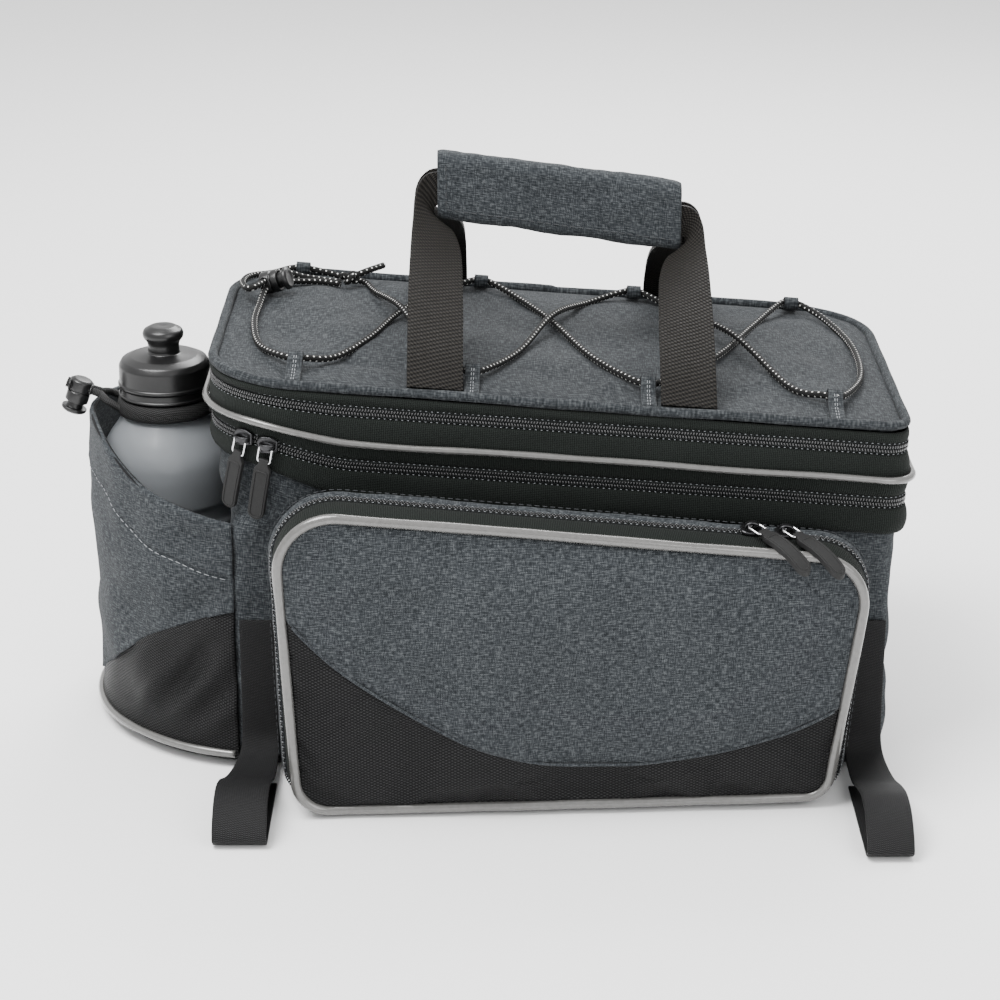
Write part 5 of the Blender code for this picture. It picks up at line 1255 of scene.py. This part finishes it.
def through_tab(x, front, to_right):
    """Two route points that lead the cord straight through a tab."""
    step = TAB_WIDTH / 2 + 0.0010
    ends = (-step, step) if to_right else (step, -step)
    return [tab_eye(x, front) + Vector((offset, 0, offset * LID_SLOPE)) for offset in ends]


def on_lid(points):
    """Route points laid on the lid."""
    return [Vector((x, y, float(lid_top(x, y)) + CORD_RADIUS + CLEAR + 0.0002 + lift)) for x, y, lift in points]


def lock_place():
    """Middle of the lock's cord hole, resting on the lid."""
    x, y = LOCK_SPOT
    return Vector((x, y, float(lid_top(x, y)) + LOCK_RADIUS + 0.0012))


def through_lock(offset):
    """Two route points that lead a strand straight through the lock."""
    upward = LOCK_AXIS.cross(LOCK_WAY)
    if upward.z < 0:
        upward.negate()
    centre = lock_place() + upward * offset
    reach = LOCK_RADIUS + 0.001
    return [centre - LOCK_WAY * reach, centre + LOCK_WAY * reach]


def cord_route():
    """The whole route of the lid's cord, from the knot and back to it."""
    pair = CORD_RADIUS + CLEAR
    route = on_lid(LEAD_IN) + through_lock(-pair) + on_lid(AFTER_LOCK)
    stops = ((TAB_FRONT_X[0], True, True), (TAB_BACK_X[1], False, True), (TAB_FRONT_X[2], True, True),
             (TAB_BACK_X[3], False, True), (TAB_FRONT_X[3], True, False), (TAB_BACK_X[2], False, False),
             (TAB_FRONT_X[1], True, False), (TAB_BACK_X[0], False, False))
    for stop, leg in zip(stops, LEGS):
        route += through_tab(*stop) + on_lid(leg)
    return route + through_lock(pair)[::-1] + on_lid(LEAD_OUT)


def make_tab(name, x, front):
    """A folded strip of cloth round the cord, with two stitch rows down its middle."""
    length = TAB_FRONT_LENGTH if front else TAB_BACK_LENGTH
    hole = CORD_RADIUS + 0.0009
    centre = hole + 0.0006
    path = [(-0.0012, 0.0002), (length * 0.45, 0.0022), (length - 2.4 * centre, TAB_RISE * 0.62)]
    path += [(length + centre * math.cos(math.radians(a)), TAB_RISE + centre * math.sin(math.radians(a)))
             for a in range(215, 489, 22)]
    path += [(length - 2.6 * centre, TAB_RISE * 0.62 + 0.0011), (length * 0.45, 0.0032), (-0.0012, 0.0012)]
    route = [Vector((p[0], p[1], 0.0)) for p in path]
    line = even_line(smooth_path(route, 0.0015), 44)
    share = np.linspace(-0.5, 0.5, 9)
    points = np.stack([np.repeat(line[:, :1], 9, 1), np.repeat(line[:, 1:2], 9, 1),
                       np.repeat(share[None, :] * TAB_WIDTH, len(line), 0)], -1)
    run = lengths(line)
    uv = uv_grid((share * TAB_WIDTH)[None, :], run[:, None])
    inward = 1 if front else -1
    edge = tab_eye(x, front) - Vector((0, inward * length, TAB_RISE))
    matrix = axes(edge, (0, inward, 0), (-LID_SLOPE, 0, 1), (inward, 0, inward * LID_SLOPE))
    tab = thicken(sheet(name, points, uv=uv), 0.0008, 0.0)
    tab.data.transform(matrix)
    keep(tab, "heather_lid", name)
    top = line[(run > run[-1] - length * 0.98)]
    for number, offset in enumerate((-0.0006, 0.0006)):
        spots = [matrix @ Vector((p[0], p[1] + 0.0006, offset)) for p in top]
        stitches(f"{name}_stitches_{number + 1}", spots, matrix.to_3x3() @ Vector((0, 1, 0)), "thread",
                 0.0020, 0.0009, 0.00022)


def make_cord():
    """Tabs, flecked cord, knot, and the lock of the lid."""
    for index, x in enumerate(TAB_FRONT_X):
        make_tab(f"cord_tab_front_{index + 1}", x, True)
    for index, x in enumerate(TAB_BACK_X):
        make_tab(f"cord_tab_back_{index + 1}", x, False)
    path = smooth_path(cord_route(), 0.0032)
    keep(tube("bungee_cord", path, CORD_RADIUS, 12), "cord", "bungee_cord")
    x, y = LEAD_IN[0][:2]
    centre = Vector((x + KNOT_RADIUS + 2 * CLEAR, y + 0.0020, float(lid_top(x, y)) + KNOT_RADIUS + CLEAR))
    knot = []
    for step in range(60):
        t = 2 * math.pi * step / 60
        knot.append(centre + Vector((math.sin(t) + 2 * math.sin(2 * t), math.cos(t) - 2 * math.cos(2 * t),
                                     -1.35 * math.sin(3 * t))) * 0.00135)
    keep(tube("bungee_knot", knot, CORD_RADIUS * 0.95, 10, True), "cord", "bungee_knot")
    tail = [centre, centre + Vector((0.009, 0.005, 0.0025)), centre + Vector((0.018, 0.015, 0.0030))]
    keep(tube("bungee_tail", smooth_path(tail, 0.002), CORD_RADIUS, 10), "cord")
    frame_of_lock = axes(lock_place(), LOCK_WAY, LOCK_AXIS.cross(LOCK_WAY), LOCK_AXIS)
    make_lock("cord_lock", frame_of_lock, LOCK_RADIUS, 0.011, CORD_RADIUS, LOCK_RADIUS, "lid_lock_button")
    pair = Vector((0, -HOLDER_CORD_RADIUS - CLEAR, 0))
    reach = HOLDER_LOCK_WAY * (LOCK_RADIUS + 0.0015)
    around = NECK_RADIUS + HOLDER_CORD_RADIUS + 2 * CLEAR
    front = [HOLDER_LOCK + reach + pair, HOLDER_LOCK - reach + pair, HOLDER_LOCK - reach * 1.5 + pair * 1.15,
             Vector((-0.2405, -0.0080, 0.1715))]
    for degrees in range(205, 345, 15):
        angle = math.radians(degrees)
        front.append(Vector((BOTTLE_X + around * math.cos(angle), around * math.sin(angle), HOLDER_RING_HEIGHT)))
    front += [Vector((-0.1828, -0.0098, 0.1665)), Vector((-0.1801, -0.0058, 0.1622))]
    back = [Vector((point.x, -point.y, point.z)) for point in front]
    band = [(NECK_RADIUS - 0.0004, 0.1728), (NECK_RADIUS + 0.0030, 0.1726), (NECK_RADIUS + 0.0042, 0.1700),
            (NECK_RADIUS + 0.0046, 0.1660), (NECK_RADIUS + 0.0040, 0.1640), (NECK_RADIUS - 0.0004, 0.1636)]
    keep(lathe("neck_band", rounded(band + band[:1], 0.0008), 64, Matrix.Translation((BOTTLE_X, 0, 0))), "braid")
    path = smooth_path(front + [Vector((-0.1791, 0.0, 0.1590))] + back[::-1], 0.003)
    keep(tube("pocket_cord", path, HOLDER_CORD_RADIUS, 12), "braid", "pocket_cord")
    across = HOLDER_LOCK_AXIS.cross(HOLDER_LOCK_WAY)
    frame_of_lock = axes(HOLDER_LOCK, HOLDER_LOCK_WAY, across, HOLDER_LOCK_AXIS)
    make_lock("pocket_lock", frame_of_lock, LOCK_RADIUS, 0.013, HOLDER_CORD_RADIUS, LOCK_RADIUS + 0.0006,
              "holder_lock_button")


def make_lock(prefix, matrix, radius, length, cord_radius, head, body):
    """A cord lock: grooved barrel and domed spring button."""
    low = -cord_radius - 0.0024
    top = low + length
    bore = radius - 0.0016
    floor = cord_radius + 0.0013
    outer = [(0.0, low), (radius * 0.72, low), (radius, low + 0.0012), (radius, low + 0.0062),
             (radius - 0.0006, low + 0.0066), (radius - 0.0006, low + 0.0072), (radius, low + 0.0076), (radius, top),
             (bore, top), (bore, floor), (0.0, floor)]
    barrel = lathe(f"{prefix}_barrel", rounded(outer, 0.0006)[::-1], 40, matrix)
    keep(barrel, "black", f"{prefix}_barrel")
    stem = bore - CLEAR
    rest = floor + CLEAR + 0.003
    seat = top + CLEAR + 0.003
    profile = [(0.0, seat + 0.0019), (head * 0.45, seat + 0.0021), (head * 0.70, seat + 0.0026),
               (head - 0.0012, seat + 0.0026), (head, seat + 0.0016), (head, seat), (stem, seat), (stem, rest),
               (0.0, rest)]
    keep(lathe(f"{prefix}_button", rounded(profile, 0.0005), 40, matrix), "black", f"{prefix}_button",
         body=body)
    ring_path = []
    for step in range(20):
        angle = 2 * math.pi * step / 20
        ring_path.append(matrix @ Vector((0.0, (2 * cord_radius + 0.0009) * math.cos(angle),
                                          (cord_radius + 0.0008) * math.sin(angle))))
    for number, side in enumerate((-1, 1)):
        shifted = [p + matrix.to_3x3() @ Vector((side * (radius - 0.0004), 0, 0)) for p in ring_path]
        keep(tube(f"{prefix}_eye_{number + 1}", shifted, 0.0006, 8, True), "black")


# Zip sliders and pulls

def make_pulls():
    """Each slider with its arch, wire loop and rubber tab."""
    for number, (pivot, hinge, normal) in enumerate(PULLS, 1):
        pivot, hinge, normal = Vector(pivot), Vector(hinge).normalized(), Vector(normal).normalized()
        way = normal.cross(hinge).normalized()
        chain = Vector((-normal.y, normal.x, 0) if number < 3 else POCKET_CHAIN_WAY).normalized()
        across = normal.cross(chain).normalized()
        seat = pivot - normal * 0.0043
        outline = [(-0.0056, 0.0026), (-0.0035, 0.0045), (0.0010, 0.0045), (0.0052, 0.0028), (0.0052, -0.0028),
                   (0.0010, -0.0045), (-0.0035, -0.0045), (-0.0056, -0.0026)]
        plate = plate_mesh(f"zip_slider_{number}", outline, 0.0003, 0.0024, 0.0007)
        plate.data.transform(axes(seat, chain, across, normal))
        keep(plate, "gunmetal", f"zip_slider_{number}")
        arch = [pivot + chain * (0.0037 * math.cos(a)) + normal * (0.0030 * math.sin(a) - 0.0014)
                for a in np.linspace(-0.25, math.pi + 0.25, 16)]
        ribbon = np.array([[p - across * 0.0014, p + across * 0.0014] for p in arch])
        points = np.stack([ribbon[:, 0] * (1 - s) + ribbon[:, 1] * s for s in np.linspace(0, 1, 5)], 1)
        bridge = thicken(sheet(f"zip_slider_arch_{number}", points), 0.0010, 0.0)
        keep(bridge, "gunmetal")
        frame_of_pull = axes(pivot, -hinge, -way, normal)
        half = 0.0034
        loop = filleted(((-half, -0.0085, 0.0016), (half, -0.0085, 0.0016), (half, 0, 0.0016), (-half, 0, 0.0016)), 5)
        path = [frame_of_pull @ Vector((x, y, 0)) for x, y in loop]
        keep(tube(f"zip_pull_wire_{number}", path, 0.0007, 10, True), "wire", f"zip_pull_wire_{number}",
             body=f"pull_{number}")
        make_tab_of_pull(number, frame_of_pull)


def plate_mesh(name, outline, low, high, edge):
    """A flat plate with rounded edges from an outline in its own plane."""
    bm = bmesh.new()
    face = bm.faces.new([bm.verts.new((x, y, low)) for x, y in outline])
    if face.normal.z > 0:
        face.normal_flip()
    made = bmesh.ops.extrude_face_region(bm, geom=[face])
    bmesh.ops.translate(bm, verts=[v for v in made["geom"] if isinstance(v, bmesh.types.BMVert)],
                        vec=(0, 0, high - low))
    bmesh.ops.recalc_face_normals(bm, faces=bm.faces)
    mesh = bpy.data.meshes.new(name)
    bm.to_mesh(mesh)
    bm.free()
    thing = bpy.data.objects.new(name, mesh)
    bpy.context.scene.collection.objects.link(thing)
    soften(thing, edge, 3)
    mesh.shade_smooth()
    mesh.set_sharp_from_angle(angle=math.radians(60))
    return thing


def make_tab_of_pull(number, matrix):
    """The moulded rubber tab: narrow neck, rounded end and a sunk panel on its face."""
    side, neck = 0.0044, 0.0026
    top = -0.0085 + 0.0019
    shoulder = -0.0100
    end = top - 0.0335
    half = [(neck, top), (neck, shoulder + 0.0003), (side - 0.0009, shoulder - 0.0010), (side, shoulder - 0.0024)]
    tip = [(side * math.cos(math.radians(a)), end + side + side * math.sin(math.radians(a)))
           for a in range(0, -181, -15)]
    outline = half + tip + [(-x, y) for x, y in half[::-1]]
    pull = plate_mesh(f"zip_pull_{number}", outline[::-1], -0.0015, 0.0011, 0.0006)
    inner = side - 0.0013
    droop(pull, number)
    pull.data.transform(matrix)
    body = f"pull_{number}"
    keep(pull, "rubber", f"zip_pull_{number}", body=body)
    edge = filleted(((-inner, end + 0.0014, inner * 0.95), (inner, end + 0.0014, inner * 0.95),
                     (inner, shoulder - 0.0034, 0.0012), (-inner, shoulder - 0.0034, 0.0012)), 6)
    border = tube(f"zip_pull_rim_{number}", [Vector((x, y, 0.0011)) for x, y in edge], 0.0004, 8, True)
    droop(border, number)
    border.data.transform(matrix)
    keep(border, "rubber", body=body)


def droop(thing, number):
    """Bend the soft tabs of the pocket's pulls down past its edge, and all tabs a little."""
    start, bend = (0.018, 13.0) if number > 2 else (0.012, 1.5)
    bm = bmesh.new()
    bm.from_mesh(thing.data)
    for step in range(12):
        bmesh.ops.bisect_plane(bm, geom=bm.verts[:] + bm.edges[:] + bm.faces[:],
                               plane_co=(0, -start - 0.002 * step, 0), plane_no=(0, 1, 0))
    bm.to_mesh(thing.data)
    bm.free()
    for vertex in thing.data.vertices:
        over = max(0.0, -vertex.co.y - start)
        vertex.co.z -= bend * over * over


# Side straps

def make_side_strap(name, x, reach):
    """A smooth strap down the body and forward in a loop on the floor."""
    face = -(BODY_HALF_DEPTH + 2 * CLEAR + 0.0008)
    route = [Vector((x, face, 0.083))]
    route += [Vector((x, face - reach * share, 0.0200 * height)) for share, height in STRAP_ROWS]
    line = even_line(smooth_path(route, 0.004), 120)
    share = np.linspace(-0.5, 0.5, 9)
    widest = STRAP_SPREAD_LEFT if x < 0 else STRAP_SPREAD_RIGHT
    spread = widest * np.clip((face - line[:, 1]) / STRAP_SPREAD_REACH, 0, 1)
    points = line[:, None, :] + np.array((1.0, 0, 0)) * (share * (STRAP_WIDTH + spread[:, None]))[..., None]
    points[..., 0] += math.copysign(0.5, x) * spread[:, None]
    run = lengths(line)
    uv = uv_grid((share * STRAP_WIDTH)[None, :], run[:, None])
    strap = thicken(sheet(name, points, uv=uv), 0.0015, 0.0)
    soften(strap, 0.0004)
    keep(strap, "elastic", name)


FINISHES = make_materials()
make_studio()
make_bands()
make_lid()
make_body()
make_pocket()
make_holder()
make_bottle()
make_handles()
make_cord()
make_pulls()
make_side_strap("side_strap_left", -0.1555, 0.093)
make_side_strap("side_strap_right", 0.1578, 0.106)
